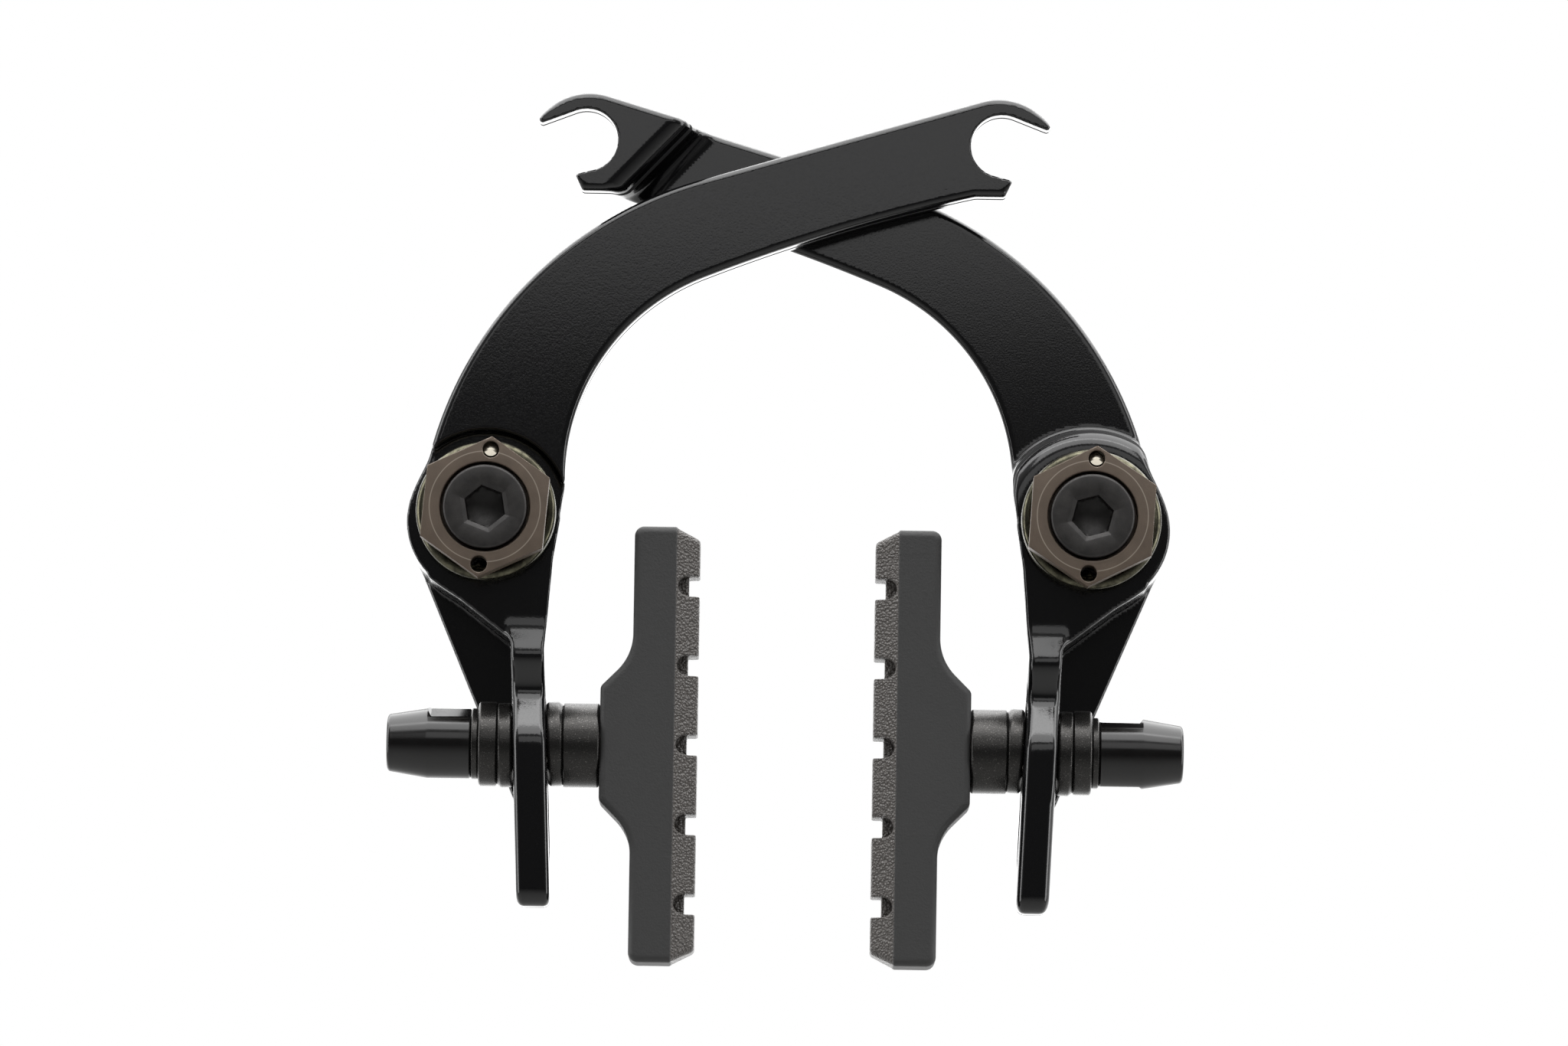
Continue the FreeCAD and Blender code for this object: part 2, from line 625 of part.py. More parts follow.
def brake_pad():
    """The moulded rubber pad: a smooth back with a hump, and a tapered, grooved friction layer."""
    half_length = 0.5 * PAD_LENGTH
    half_depth = 0.5 * PAD_DEPTH
    half_hump = 0.5 * PAD_HUMP_LENGTH
    flank = half_hump + PAD_BACK - PAD_HUMP_BACK
    back_outline = [
        (PAD_HUMP_BACK, half_hump, PAD_HUMP_ROUND),
        (PAD_BACK, flank, PAD_FILLET),
        (PAD_BACK, half_length, PAD_CORNER_ROUND),
        (PAD_RIM, half_length, 0),
        (PAD_RIM, -half_length, 0),
        (PAD_BACK, -half_length, PAD_CORNER_ROUND),
        (PAD_BACK, -flank, PAD_FILLET),
        (PAD_HUMP_BACK, -half_hump, PAD_HUMP_ROUND),
    ]
    body = rounded_slab(back_outline, -half_depth, half_depth)
    tread = Part.makeWedge(
        -half_depth, PAD_RIM, -half_length,
        PAD_TAPER - half_length, PAD_TAPER - half_depth,
        half_depth, PAD_FACE, half_length,
        half_length - PAD_TAPER, half_depth - PAD_TAPER,
    )
    tread.rotate(ORIGIN, ALONG_Z, -90)
    body = body.fuse(tread)
    cuts = []
    scoop_round = 0.5 * GROOVE_WIDTH
    for index in range(GROOVE_COUNT):
        middle = (index - 0.5 * (GROOVE_COUNT - 1)) * GROOVE_PITCH
        floor = PAD_FACE - GROOVE_DEPTH
        cuts.append(Part.makeBox(FAR, 2 * FAR, GROOVE_WIDTH, V(floor, -FAR, middle - scoop_round)))
        for edge in (-half_depth, half_depth - SCOOP_LENGTH):
            centre = PAD_FACE - SCOOP_DEPTH + scoop_round
            cuts.append(Part.makeCylinder(scoop_round, SCOOP_LENGTH, V(centre, edge, middle), ALONG_Y))
            cuts.append(Part.makeBox(FAR, SCOOP_LENGTH, GROOVE_WIDTH, V(centre, edge, middle - scoop_round)))
    body = body.cut(cuts)
    body.translate(SHOE_CENTRE)
    return body.cut(pad_post())


def build():
    """Every piece by its name, in its place."""
    pieces = {}
    arms = {
        "left": (-1, LEFT_NUT_TURN, LEFT_KEY_TURN, left_arm_body),
        "right": (1, -RIGHT_NUT_TURN, -RIGHT_KEY_TURN, right_arm_body),
    }
    for name, (side, turn, key_turn, arm_body) in arms.items():
        made = {
            "arm": arm_body().cut(arm_holes(turn)),
            "pivot_bushing": bushing(),
            "spring_nut": spring_nut(turn),
            "pivot_bolt": pivot_bolt(key_turn),
            "torsion_spring": torsion_spring(turn),
            "inner_dome_washer": dome_washer(1),
            "inner_cup_washer": cup_washer(1, INNER_CUP_END),
            "outer_dome_washer": dome_washer(-1),
            "outer_cup_washer": cup_washer(-1, OUTER_CUP_END),
            "flat_washer": flat_washer(),
            "pad_nut": pad_nut(),
            "pad_post": pad_post(),
            "brake_pad": brake_pad(),
        }
        for piece, shape in made.items():
            pieces[name + "_" + piece] = place(shape, side)
    return pieces


def main():
    """Writes each piece as a solid of its own."""
    os.makedirs("parts", exist_ok=True)
    for name, shape in build().items():
        shape.removeSplitter().exportStep("parts/" + name + ".step")


main()
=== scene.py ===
"""U-brake: the visible arms, nuts, bolts, springs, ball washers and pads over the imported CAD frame."""

import bmesh
import bpy
import numpy as np
from mathutils import Matrix


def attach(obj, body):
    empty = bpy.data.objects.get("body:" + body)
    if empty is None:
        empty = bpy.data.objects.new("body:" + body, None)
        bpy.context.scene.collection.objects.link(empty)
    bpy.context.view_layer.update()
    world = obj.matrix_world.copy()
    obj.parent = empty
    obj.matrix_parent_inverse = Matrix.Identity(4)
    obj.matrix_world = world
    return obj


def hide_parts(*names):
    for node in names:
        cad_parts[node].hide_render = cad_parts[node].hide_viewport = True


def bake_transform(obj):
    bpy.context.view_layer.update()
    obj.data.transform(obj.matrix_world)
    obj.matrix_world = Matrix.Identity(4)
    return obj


bl_info = {
    "name": "U-Brake Dresser",
    "version": (1, 0, 0),
    "blender": (4, 5, 0),
    "location": "View3D > Sidebar > U-Brake",
    "description": "Builds the visible pieces of a U-brake over its packed CAD frame",
    "category": "Object",
}

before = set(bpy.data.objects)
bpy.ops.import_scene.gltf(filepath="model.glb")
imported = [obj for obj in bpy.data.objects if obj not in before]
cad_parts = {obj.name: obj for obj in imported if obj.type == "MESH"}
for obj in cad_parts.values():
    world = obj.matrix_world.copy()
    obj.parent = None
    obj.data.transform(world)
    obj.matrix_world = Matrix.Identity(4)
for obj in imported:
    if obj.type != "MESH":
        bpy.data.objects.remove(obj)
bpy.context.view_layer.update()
MM = 0.001
SIDES = {"left": -1, "right": 1}
FAR = 80.0

# Sizes in millimetres, drawn from a pivot with U towards the wheel, Y backwards and Z up
PIVOT = 40.5
BOSS = 10.0
BOSS_CENTRE = np.array((-0.65, -1.2))
BOSS_STEP = 12.7
INNER_SIDE = 9.5
CAP_RADIUS = 14.0
POCKET = 10.9
BUSHING_HOLE = 6.05
SEAT_Y = -13.5
BACK_Y = -0.3
FRONT_PLANE = (-15.1, -8.6)
REAR_PLANE = (-8.0, -1.5)
PARTING_Y = -11.85
ARM_BOX = ((-14, -17, -53.2), (77, 0, 57.2))

# Each bend's centre, radius, and first and last angle in degrees
OUTER_BEND = (np.array((42.8, -4.6)), 52, (174.93, 106.5))
INNER_BEND = (np.array((39.7, 5.0)), 29.2, (112.2, 180))

# The hook: its mouth's angles, and the length and direction of the beak, the lip and the lip's wall
HOOK = np.array((68.4, 50.35))
HOOK_RADIUS = 4.2
MOUTH = (69, 256)
BEAK = (5.95, -21)
LIP = (2.6, 346)
LIP_WALL = (2.1, 256)
LIP_DRAFT = (0.5, 0.1)
CROWN = np.array((65.6, 56.387))
CROWN_FALL = 16.5
UNDER_RISE = 22.2
HEEL_U = 64.9

# The riser that brings the rear limb forward to its hook
RISER_WAY = np.radians(43.5)
RISER_START = 7.8
RISER_RUN = 2.0
RISER_BACK_START = 2
RISER_BACK_RUN = 5.4

# The shoe plate, its neck, its slot and the web behind it
PLATE_U = 6.35
PLATE_HALF = 2.25
PLATE_LEAN = np.radians(2.3)
PLATE_FOOT = -60
FINGER_Y = -16.6
FINGER_BOTTOM = -52.8
SKIRT_ANGLE = 228.4
SKIRT_Z = -17
NECK_Z = -18.2
NECK_HEIGHTS = (-60.0, -30.0, -23.6, -19.4, -15.0, FAR)
NECK_DEPTHS = (FINGER_Y, FINGER_Y, -12.7, -15.4, SEAT_Y, SEAT_Y)
NECK_STEP = 0.1
NECK_BELL = 45
SHOULDER_START = -3.4
SHOULDER_WIDTH = 1.15
SHOULDER_Z = -18
SLOT = (-43.5, -27.5)
SLOT_HALF = 3.5
WEB_Y = -2.6
WEB_Z = -38.6
WEB_TOP = -14

# Round of the corners that lie inside other forms, and how far the web starts inside the boss
CRISP = 0.1

# Heights between which the arm's edges change from finger to boss to rim, and the edges round the mouth
EDGE_HEIGHTS = (-22, -15, 2, 9)
MOUTH_REACH = (0.3, 1.6)
MOUTH_EDGE = (0.2, 1.0)

# Spring nut, bolt and spring, with the turn of each piece in degrees
NUT_FRONT = -21.8
NUT_BACK = -18.2
NUT_HALF = 8.2
NUT_CORNER = 9.24
NUT_BOX = 9.4
NUT_BORE = 3.15
CONE_DROP = 0.16
COUNTERBORE = 6.0
COUNTERBORE_Y = -19.0
NUT_TURN = {"left": 5.0, "right": -3.3}
KEY_TURN = {"left": -9.5, "right": -14.8}
FLAT_TURN = {"left": 70.0, "right": 82.0}
KEY = 5.0
KEY_BEVEL = 6.2
THREAD = 2.98
THREAD_DEPTH = 0.5
BOLT_FRONT = -22.3
BOLT_HEAD = 5.6
BOLT_END = 4.0
SPRING_RADIUS = 7.7
SPRING_HOLE = 1.1
TAIL_HOLE = 1.0
TAIL_HOLE_Y = -10.5
COIL_RADIUS = 8.45
COIL_BACK = -14.395
COIL_FRONT = -17.305

# Shoe: where its post crosses the plate, and from there the ball seat and the pad
SHOE = np.array((6.35, -9.6, -30.8))
DOME = ((4.0, 2.27, 0.2), (5.65, 2.27, 0.55), (5.65, 4.05, 0.5), (4.86, 4.968, 0.4), (4.0, 5.68, 0.2))
CUP_SEAT = ((5.65, 4.22, 0.18), (4.5, 5.43, 0.5), (3.2, 6.28, 0.1))
CUP_HOLE = 3.2
CUP_RIM = 5.65
CUP_ENDS = {"inner": 9.3, "outer": 6.9}
FLAT_WASHER = ((3.2, 6.91, 0.1), (3.2, 7.89, 0.1), (4.75, 7.89, 0.25), (4.75, 6.91, 0.25))
PAD_HALF = 5.2
PAD_END = 29.2
PAD_BACK = 9.35
PAD_WAIST = 13.6
HUMP_TOP = 7.65
HUMP_FOOT = 11.9
TREAD_ROOT = 17.0
TREAD_INSET = 0.15
TREAD_BASE = 19.3
TREAD_TOP = 22.4
TREAD_LEAN = (1.5, 3.1)
GROOVE_STEP = 10.65
SCOOP_DEPTH = 2.9
SCOOP_START = 3.0
POST_HOLE = 3.02
POST_HOLE_END = 13.9
POST_END = -15.0
FLANGE = 4.58
FLANGE_FACES = (12.36, 13.84)

# The photograph's frame in pixels, the bolt heads' distance in it and the pixel midway between them
FRAME = (2048, 1366)
HEADS_APART = 794.7
HEADS_MIDDLE = (1030.25, 667)
SENSOR = 36

# Stage in metres: the floor, and each softbox's place, size and power property
FLOOR_Z = -0.45
FLOOR_REACH = 2
LAMPS = {
    "key": ((0.0, 0.14, 0.70), (1.8, 1.15), "key"),
    "front": ((0.0, -0.45, 0.62), (0.8, 0.40), "front"),
    "left_fill": ((-0.70, -0.10, 0.10), (0.30, 0.9), "fill"),
    "right_fill": ((0.70, -0.10, 0.10), (0.30, 0.9), "fill"),
    "back": ((0.0, 1.3, 0.05), (2.4, 1.6), "back"),
    "panel": ((0.06, -0.45, 0.16), (0.6, 0.16), "panel"),
}

# The world's light on dull surfaces, and the direction in which reflections find it white
AMBIENT = 0.18
BACK_AND_UP = (0, 0.8, 0.6)

# Places of a Mix node's two inputs, for numbers and for colours
NUMBER_A, NUMBER_B = 2, 3
COLOUR_A, COLOUR_B = 6, 7
WHITE = (1, 1, 1, 1)


def linear(code):
    """An sRGB hex colour as linear red, green, blue and alpha."""
    parts = np.array([int(code[place:place + 2], 16) for place in (1, 3, 5)]) / 255
    straight = np.where(parts <= 0.04045, parts / 12.92, ((parts + 0.055) / 1.055) ** 2.4)
    return (*straight.tolist(), 1.0)


def length(name, description, default):
    """A length property in metres from a size in millimetres."""
    return bpy.props.FloatProperty(
        name=name, description=description, default=default * MM, min=0, unit="LENGTH", precision=5)


def colour(name, description, code):
    """A colour property from an sRGB hex colour."""
    return bpy.props.FloatVectorProperty(
        name=name, description=description, default=linear(code), size=4, min=0, max=1, subtype="COLOR")


def power(name, description, default):
    """A lamp's power property in watts."""
    return bpy.props.FloatProperty(
        name=name, description=description, default=default, min=0, unit="POWER")


def degrees(name, description, default):
    """An angle property from degrees."""
    return bpy.props.FloatProperty(
        name=name, description=description, default=np.radians(default), subtype="ANGLE")


class ArmShape(bpy.types.PropertyGroup):
    """Rounds of the forged arms."""

    rim_round: length("Rim round", "Round along the edges of the limbs", 0.95)
    boss_round: length("Boss round", "Round along the front edge of the pivot boss and its skirt", 0.4)
    finger_round: length("Finger round", "Round along the edges of the slotted plate", 1.0)
    step_round: length("Step round", "Round along the raised boss on the rear limb", 3.0)
    cell: length("Cell", "Spacing of the grid that the arms' surface is found on", 0.38)


class HardwareShape(bpy.types.PropertyGroup):
    """Sizes of the small turned pieces."""

    nut_face: length("Nut face", "Radius of the turned face on the spring nut", 7.4)
    wire: length("Spring wire", "Diameter of the torsion spring's wire", 1.9)
    pitch: length("Thread pitch", "Pitch of the threads on bolts and posts", 1.0)
    cell: length("Cell", "Spacing of the grid that the nuts' surface is found on", 0.13)


class PadShape(bpy.types.PropertyGroup):
    """Sizes of the brake pads."""

    groove_width: length("Groove width", "Width of each water groove", 2.65)
    groove_depth: length("Groove depth", "Depth of each water groove", 1.43)
    edge_round: length("Edge round", "Round along the moulded back's edges", 0.9)
    cell: length("Cell", "Spacing of the grid that the pads' surface is found on", 0.24)


class Finishes(bpy.types.PropertyGroup):
    """Colours of the materials."""

    coat: colour("Arm coat", "Gloss black coat on the arms", "#070708")
    nut: colour("Spring nut", "Brown phosphated steel", "#5e5247")
    oxide: colour("Bolt", "Black oxide on the bolts", "#2d2b2a")
    wire: colour("Spring wire", "Yellow-passivated spring steel", "#5d5b4c")
    washer: colour("Ball washer", "Black finish on pressed washers", "#343332")
    lacquer: colour("Pad nut", "Glossy black lacquer", "#080707")
    rubber: colour("Rubber", "Moulded back of the brake pads", "#2c2c2c")
    tread: colour("Friction layer", "Moulded friction layer of the brake pads", "#4c4845")
    steel: colour("Steel", "Bare turned steel", "#9a9690")


class StudioSetup(bpy.types.PropertyGroup):
    """Camera and lamps."""

    distance: length("Distance", "From the camera to the bolt heads", 1400)
    pitch: degrees("Pitch", "How far the camera looks up", 5.5)
    roll: degrees("Roll", "How far the camera leans to its left", 0.9)
    key: power("Key", "Power of the large softbox overhead", 25.0)
    fill: power("Fill", "Power of each upright softbox at the sides", 3.2)
    front: power("Front", "Power of the softbox above the camera", 3.1)
    back: power("Back", "Power of the large softbox behind", 16.0)
    panel: power("Panel", "Power of the dim panel in front of the limbs", 0.34)


def round_and(one, two, radius):
    """What two fields share, with a rounded edge: inside, the nearer wall; past the start of the round, the
    length of both overshoots less the radius."""
    outer = np.hypot(np.maximum(one + radius, 0), np.maximum(two + radius, 0))
    return np.minimum(np.maximum(one, two), -radius) + outer


def round_or(one, two, radius):
    """Two fields together, with a filleted corner: the mirror image of round_and."""
    inner = np.hypot(np.maximum(radius - one, 0), np.maximum(radius - two, 0))
    return np.maximum(np.minimum(one, two), radius) - inner


def run_gap(run, a, b):
    """Distance from points to a straight or round run, and a value that is positive left of its travel. A
    straight run takes the nearest point by the clamped projection, a round one by the clamped angle."""
    if run[0] == "line":
        reach = np.hypot(*(run[2] - run[1]))
        along = (run[2] - run[1]) / reach
        off_a, off_b = a - run[1][0], b - run[1][1]
        step = np.clip(off_a * along[0] + off_b * along[1], 0, reach)
        near = np.hypot(off_a - step * along[0], off_b - step * along[1])
        return near, off_b * along[0] - off_a * along[1]
    centre, radius, first, last = run[1:]
    off_a, off_b = a - centre[0], b - centre[1]
    middle, half = 0.5 * (first + last), 0.5 * abs(last - first)
    turn = (np.arctan2(off_b, off_a) - middle + np.pi) % (2 * np.pi) - np.pi
    held = np.clip(turn, -half, half) + middle
    near = np.hypot(off_a - radius * np.cos(held), off_b - radius * np.sin(held))
    return near, (np.hypot(off_a, off_b) - radius) * np.sign(first - last)


def outline_field(runs, a, b):
    """Signed distance to a closed outline that has its inside on the right of travel: the distance to the
    nearest run, with the sign of the side of that run."""
    nearest, signed = None, None
    for run in runs:
        near, side = run_gap(run, a, b)
        value = np.copysign(near, side)
        if nearest is None:
            nearest, signed = near, value
        else:
            signed = np.where(near < nearest, value, signed)
            nearest = np.minimum(near, nearest)
    return signed


def arc_run(centre, radius, first_point, last_point, clockwise):
    """A round run between two points on a circle, in one sense of turning."""
    first = np.arctan2(first_point[1] - centre[1], first_point[0] - centre[0])
    last = np.arctan2(last_point[1] - centre[1], last_point[0] - centre[0])
    if clockwise and last > first:
        last -= 2 * np.pi
    if not clockwise and last < first:
        last += 2 * np.pi
    return ("arc", centre, radius, first, last)


def rounded_runs(corners):
    """Clockwise runs of a polygon with its corners (a, b, radius) rounded: each arc touches both sides at
    radius over the tangent of half the corner's angle."""
    points = np.array(corners, float)
    ahead = np.roll(points, -1, 0)
    if np.sum(points[:, 0] * ahead[:, 1] - ahead[:, 0] * points[:, 1]) > 0:
        points = points[::-1]
    runs, touches = [], []
    for index in range(len(points)):
        here, radius = points[index, :2], points[index, 2]
        back = points[index - 1, :2] - here
        on = points[(index + 1) % len(points), :2] - here
        back, on = back / np.hypot(*back), on / np.hypot(*on)
        half = 0.5 * np.arccos(np.clip(back @ on, -1, 1))
        middle = (back + on) / np.hypot(*(back + on))
        first, last = here + back * radius / np.tan(half), here + on * radius / np.tan(half)
        clockwise = back[1] * on[0] - back[0] * on[1] < 0
        centre = here + middle * radius / np.sin(half)
        touches.append((first, last, arc_run(centre, radius, first, last, clockwise)))
    for index, (first, last, bend) in enumerate(touches):
        runs.append(bend)
        runs.append(("line", last, touches[(index + 1) % len(touches)][0]))
    return runs


def run_points(runs, steps):
    """Points along the runs of an outline, with each round divided into equal angles."""
    parts = []
    for run in runs:
        if run[0] == "arc":
            angle = np.linspace(run[3], run[4], steps)
            bend = np.stack((np.cos(angle), np.sin(angle)), 1)
            parts.append(run[1] + run[2] * bend)
    return np.concatenate(parts)


def polar(centre, radius, angle):
    """A point at a radius and an angle in degrees from a centre."""
    return np.array(centre) + radius * np.array((np.cos(np.radians(angle)), np.sin(np.radians(angle))))


def run_slope(run, point):
    """Signed distance from one point to an endless run, and the direction in which it grows."""
    if run[0] == "line":
        along = (run[2] - run[1]) / np.hypot(*(run[2] - run[1]))
        outward = np.array((-along[1], along[0]))
        return (point - run[1]) @ outward, outward
    off = point - run[1]
    way = np.sign(run[3] - run[4])
    return way * (np.hypot(*off) - run[2]), way * off / np.hypot(*off)


def fillet(one, two, corner, radius, way):
    """Rounds the corner between two runs: Newton steps find the centre that is one radius inside (way -1) or
    outside (way 1) both, and both runs are cut where the round touches them."""
    centre = np.array(corner, float)
    for _ in range(25):
        gaps, slopes = zip(*(run_slope(run, centre) for run in (one, two)))
        centre = centre + np.linalg.solve(np.array(slopes), way * radius - np.array(gaps))
    gaps, slopes = zip(*(run_slope(run, centre) for run in (one, two)))
    first, last = centre - gaps[0] * slopes[0], centre - gaps[1] * slopes[1]
    bend = arc_run(centre, radius, first, last, way < 0)
    if one[0] == "line":
        one = ("line", one[1], first)
    else:
        start = polar(one[1], one[2], np.degrees(one[3]))
        one = arc_run(one[1], one[2], start, first, one[3] > one[4])
    if two[0] == "line":
        two = ("line", last, two[2])
    else:
        end = polar(two[1], two[2], np.degrees(two[4]))
        two = arc_run(two[1], two[2], last, end, two[3] > two[4])
    return one, bend, two


def easy_arc(start, direction, end):
    """A clockwise run that leaves a point in a direction and ends at another point."""
    run = np.array(end) - np.array(start)
    heading = np.radians(direction)
    radius = (run @ run) / (2 * (run[0] * np.sin(heading) - run[1] * np.cos(heading)))
    centre = polar(start, radius, direction - 90)
    return arc_run(centre, radius, start, end, True)


def limb_runs():
    """The arm above its pivot, clockwise: outer bend, limb, hook crown, mouth, lip, under side, inner bend,
    and a round and a straight run inside the boss."""
    outer, outer_radius, outer_ends = OUTER_BEND
    inner, inner_radius, inner_ends = INNER_BEND
    root_outer, bend_top = (polar(outer, outer_radius, end) for end in outer_ends)
    inner_top, inner_side = (polar(inner, inner_radius, end) for end in inner_ends)
    mouth_top, mouth_bottom = (polar(HOOK, HOOK_RADIUS, end) for end in MOUTH)
    beak, lip_top = polar(mouth_top, *BEAK), polar(mouth_bottom, *LIP)
    lip_bottom = polar(lip_top, *LIP_WALL) - LIP_DRAFT
    heel = np.array((HEEL_U, lip_bottom[1]))
    cap = inner_side - (CAP_RADIUS, 0)
    cap_foot = cap - (0, CAP_RADIUS)
    under = easy_arc(inner_top, UNDER_RISE, heel)
    under = ("arc", under[1], under[2], under[4], under[3])
    hook = arc_run(HOOK, HOOK_RADIUS, mouth_top, mouth_bottom, False)
    roof, ceiling = easy_arc(CROWN, CROWN_FALL, beak), ("line", beak, mouth_top)
    shelf, lip = ("line", mouth_bottom, lip_top), ("line", lip_top, lip_bottom)
    roof, tip, ceiling = fillet(roof, ceiling, beak, 0.45, -1)
    shelf, lip_one, lip = fillet(shelf, lip, lip_top, 0.4, -1)
    lip, lip_two, floor = fillet(lip, ("line", lip_bottom, heel), lip_bottom, 0.5, -1)
    floor, heel_bend, under = fillet(floor, under, heel, 2.5, 1)
    return [
        arc_run(outer, outer_radius, root_outer, bend_top, True), ("line", bend_top, CROWN),
        roof, tip, ceiling, hook, shelf, lip_one, lip, lip_two, floor, heel_bend, under,
        arc_run(inner, inner_radius, inner_top, inner_side, False),
        arc_run(cap, CAP_RADIUS, inner_side, cap_foot, True), ("line", cap_foot, root_outer),
    ]


def plate_u(z, across):
    """U of the leaning shoe plate at a height, at a distance across from its middle."""
    return PLATE_U - (z - SHOE[2]) * np.tan(PLATE_LEAN) + across / np.cos(PLATE_LEAN)


def touch(target, centre, radius, side):
    """Where a line from a target touches a circle: the angle from the centre to the target, turned by the
    angle whose cosine is the radius over their distance."""
    off = target - np.array(centre)
    turn = np.arctan2(off[1], off[0]) + side * np.arccos(radius / np.hypot(*off))
    return polar(centre, radius, np.degrees(turn))


def neck_curve():
    """Depth of the finger's front against height: straight runs between the knots, smoothed with a bell of
    4.4 mm."""
    heights = np.arange(NECK_HEIGHTS[0], FAR, NECK_STEP)
    bell = np.hanning(NECK_BELL)
    padded = np.pad(np.interp(heights, NECK_HEIGHTS, NECK_DEPTHS), NECK_BELL // 2, mode="edge")
    return heights, np.convolve(padded, bell / bell.sum(), "valid")


LIMB = limb_runs()
# The mouth's ceiling, round and shelf
MOUTH_RUNS = LIMB[4:7]
NECK = neck_curve()
SKIRT_TOP = polar(BOSS_CENTRE, BOSS, SKIRT_ANGLE)
NECK_INNER = np.array((plate_u(NECK_Z, PLATE_HALF), NECK_Z))
WEB_FOOT = np.array((plate_u(WEB_Z, -PLATE_HALF), WEB_Z))
FRONT_OUTLINE = rounded_runs([
    (0, 0, CRISP), (*SKIRT_TOP, CRISP), (plate_u(SKIRT_Z, -PLATE_HALF), SKIRT_Z, 1.5),
    (plate_u(PLATE_FOOT, -PLATE_HALF), PLATE_FOOT, CRISP),
    (plate_u(PLATE_FOOT, PLATE_HALF), PLATE_FOOT, CRISP),
    (*NECK_INNER, 3.0), (*touch(NECK_INNER, (0, 0), INNER_SIDE, 1), CRISP),
])
SIDE_PROFILE = rounded_runs([
    (FINGER_Y, FAR, CRISP), (FINGER_Y, FINGER_BOTTOM, 2.5), (BACK_Y, FINGER_BOTTOM, 4), (BACK_Y, FAR, CRISP),
])
WEB_OUTLINE = rounded_runs([
    (0, 0, CRISP), (*touch(WEB_FOOT, BOSS_CENTRE, BOSS - CRISP, -1), CRISP), (*WEB_FOOT, 0.4),
    (PLATE_U, WEB_Z, 0.4), (plate_u(WEB_TOP, 0), WEB_TOP, CRISP),
])


def arm_field(side, shape, u, y, z):
    """An arm as a field, less than zero inside: its front silhouette with the rear web, shared with a front
    limit and a back limit, less the bore, the slot and the tail hole. The front limit is the finger's
    profile, scooped by the neck's curve where the plate is, together with the limb's plane, and the riser on
    the right arm. The edges' rounds change with height, and shrink round the hook's mouth."""
    rim, boss_edge, finger = shape.rim_round / MM, shape.boss_round / MM, shape.finger_round / MM
    pivot = np.hypot(u, z)
    limb = outline_field(LIMB, u, z)
    boss = np.hypot(u - BOSS_CENTRE[0], z - BOSS_CENTRE[1]) - BOSS
    lower = round_or(boss, outline_field(FRONT_OUTLINE, u, z), 1.0)
    web_outline = outline_field(WEB_OUTLINE, u, z)
    web = round_and(web_outline, WEB_Y - y, 0.6)
    silhouette = round_or(round_or(limb, lower, 1.5), web, 0.4)
    across = (u - plate_u(z, 0)) * np.cos(PLATE_LEAN)
    share = np.clip((across - SHOULDER_START) / SHOULDER_WIDTH, 0, 1)
    share = np.where(z < SHOULDER_Z, 1.0, share * share * (3 - 2 * share))
    lean = np.interp(z, NECK[0], np.gradient(NECK[1], NECK[0]))
    scoop = (SEAT_Y + (np.interp(z, *NECK) - SEAT_Y) * share - y) / np.hypot(1.0, lean)
    profile = np.maximum(outline_field(SIDE_PROFILE, y, z), scoop)
    below = np.minimum(lower - 1.5, web_outline - 1.5)
    step = np.minimum(pivot - BOSS_STEP, below)
    if side == "left":
        plateau = round_and(np.maximum(FRONT_PLANE[0] - y, -z), POCKET - pivot, 0.5)
        front = round_or(profile, plateau, 0.6)
        back = round_or(y - FRONT_PLANE[1], step, 1.0)
    else:
        s = (u - HOOK[0]) * np.cos(RISER_WAY) + (z - HOOK[1]) * np.sin(RISER_WAY) + RISER_START
        drop = REAR_PLANE[0] - FRONT_PLANE[0]
        face = -(s * drop + (y - FRONT_PLANE[0]) * RISER_RUN) / np.hypot(drop, RISER_RUN)
        riser = round_and(FRONT_PLANE[0] - y, face, 1.9)
        boss_front = round_and(profile, step, shape.step_round / MM)
        front = round_or(boss_front, np.maximum(REAR_PLANE[0] - y, -z), 0.9)
        front = round_or(front, riser, 2.0)
        ramp = (s + RISER_BACK_START) * drop + (y - REAR_PLANE[1]) * RISER_BACK_RUN
        ramp = ramp / np.hypot(drop, RISER_BACK_RUN)
        limb_back = round_and(y - REAR_PLANE[1], round_or(y - FRONT_PLANE[1], ramp, 1.5), 0.7)
        back = round_or(limb_back, step, 1.0)
    mouth = np.minimum.reduce([run_gap(run, u, z)[0] for run in MOUTH_RUNS])
    sharp = np.interp(mouth, MOUTH_REACH, MOUTH_EDGE)
    edge = np.interp(z, EDGE_HEIGHTS, (finger, boss_edge, boss_edge, rim)) * sharp
    arm = round_and(round_and(silhouette, front, edge), back, rim * sharp)
    slot = np.hypot(y - SHOE[1], z - np.clip(z, *SLOT)) - SLOT_HALF
    arm = round_and(arm, -slot, 0.4)
    arm = round_and(arm, BUSHING_HOLE - pivot, 0.3)
    tail = polar((0, 0), SPRING_RADIUS, 270 - NUT_TURN[side])
    hole = np.maximum(np.hypot(u - tail[0], z - tail[1]) - TAIL_HOLE, y - TAIL_HOLE_Y)
    arm = round_and(arm, -hole, 0.15)
    return np.maximum(arm, y - BACK_Y)


def field_slope(field, points, reach):
    """The field's value and slope at points, by central differences."""
    slope = np.empty_like(points)
    for axis in range(3):
        shift = np.zeros(3)
        shift[axis] = reach
        ahead, behind = points + shift, points - shift
        slope[:, axis] = (field(*ahead.T) - field(*behind.T)) / (2 * reach)
    return field(*points.T), slope


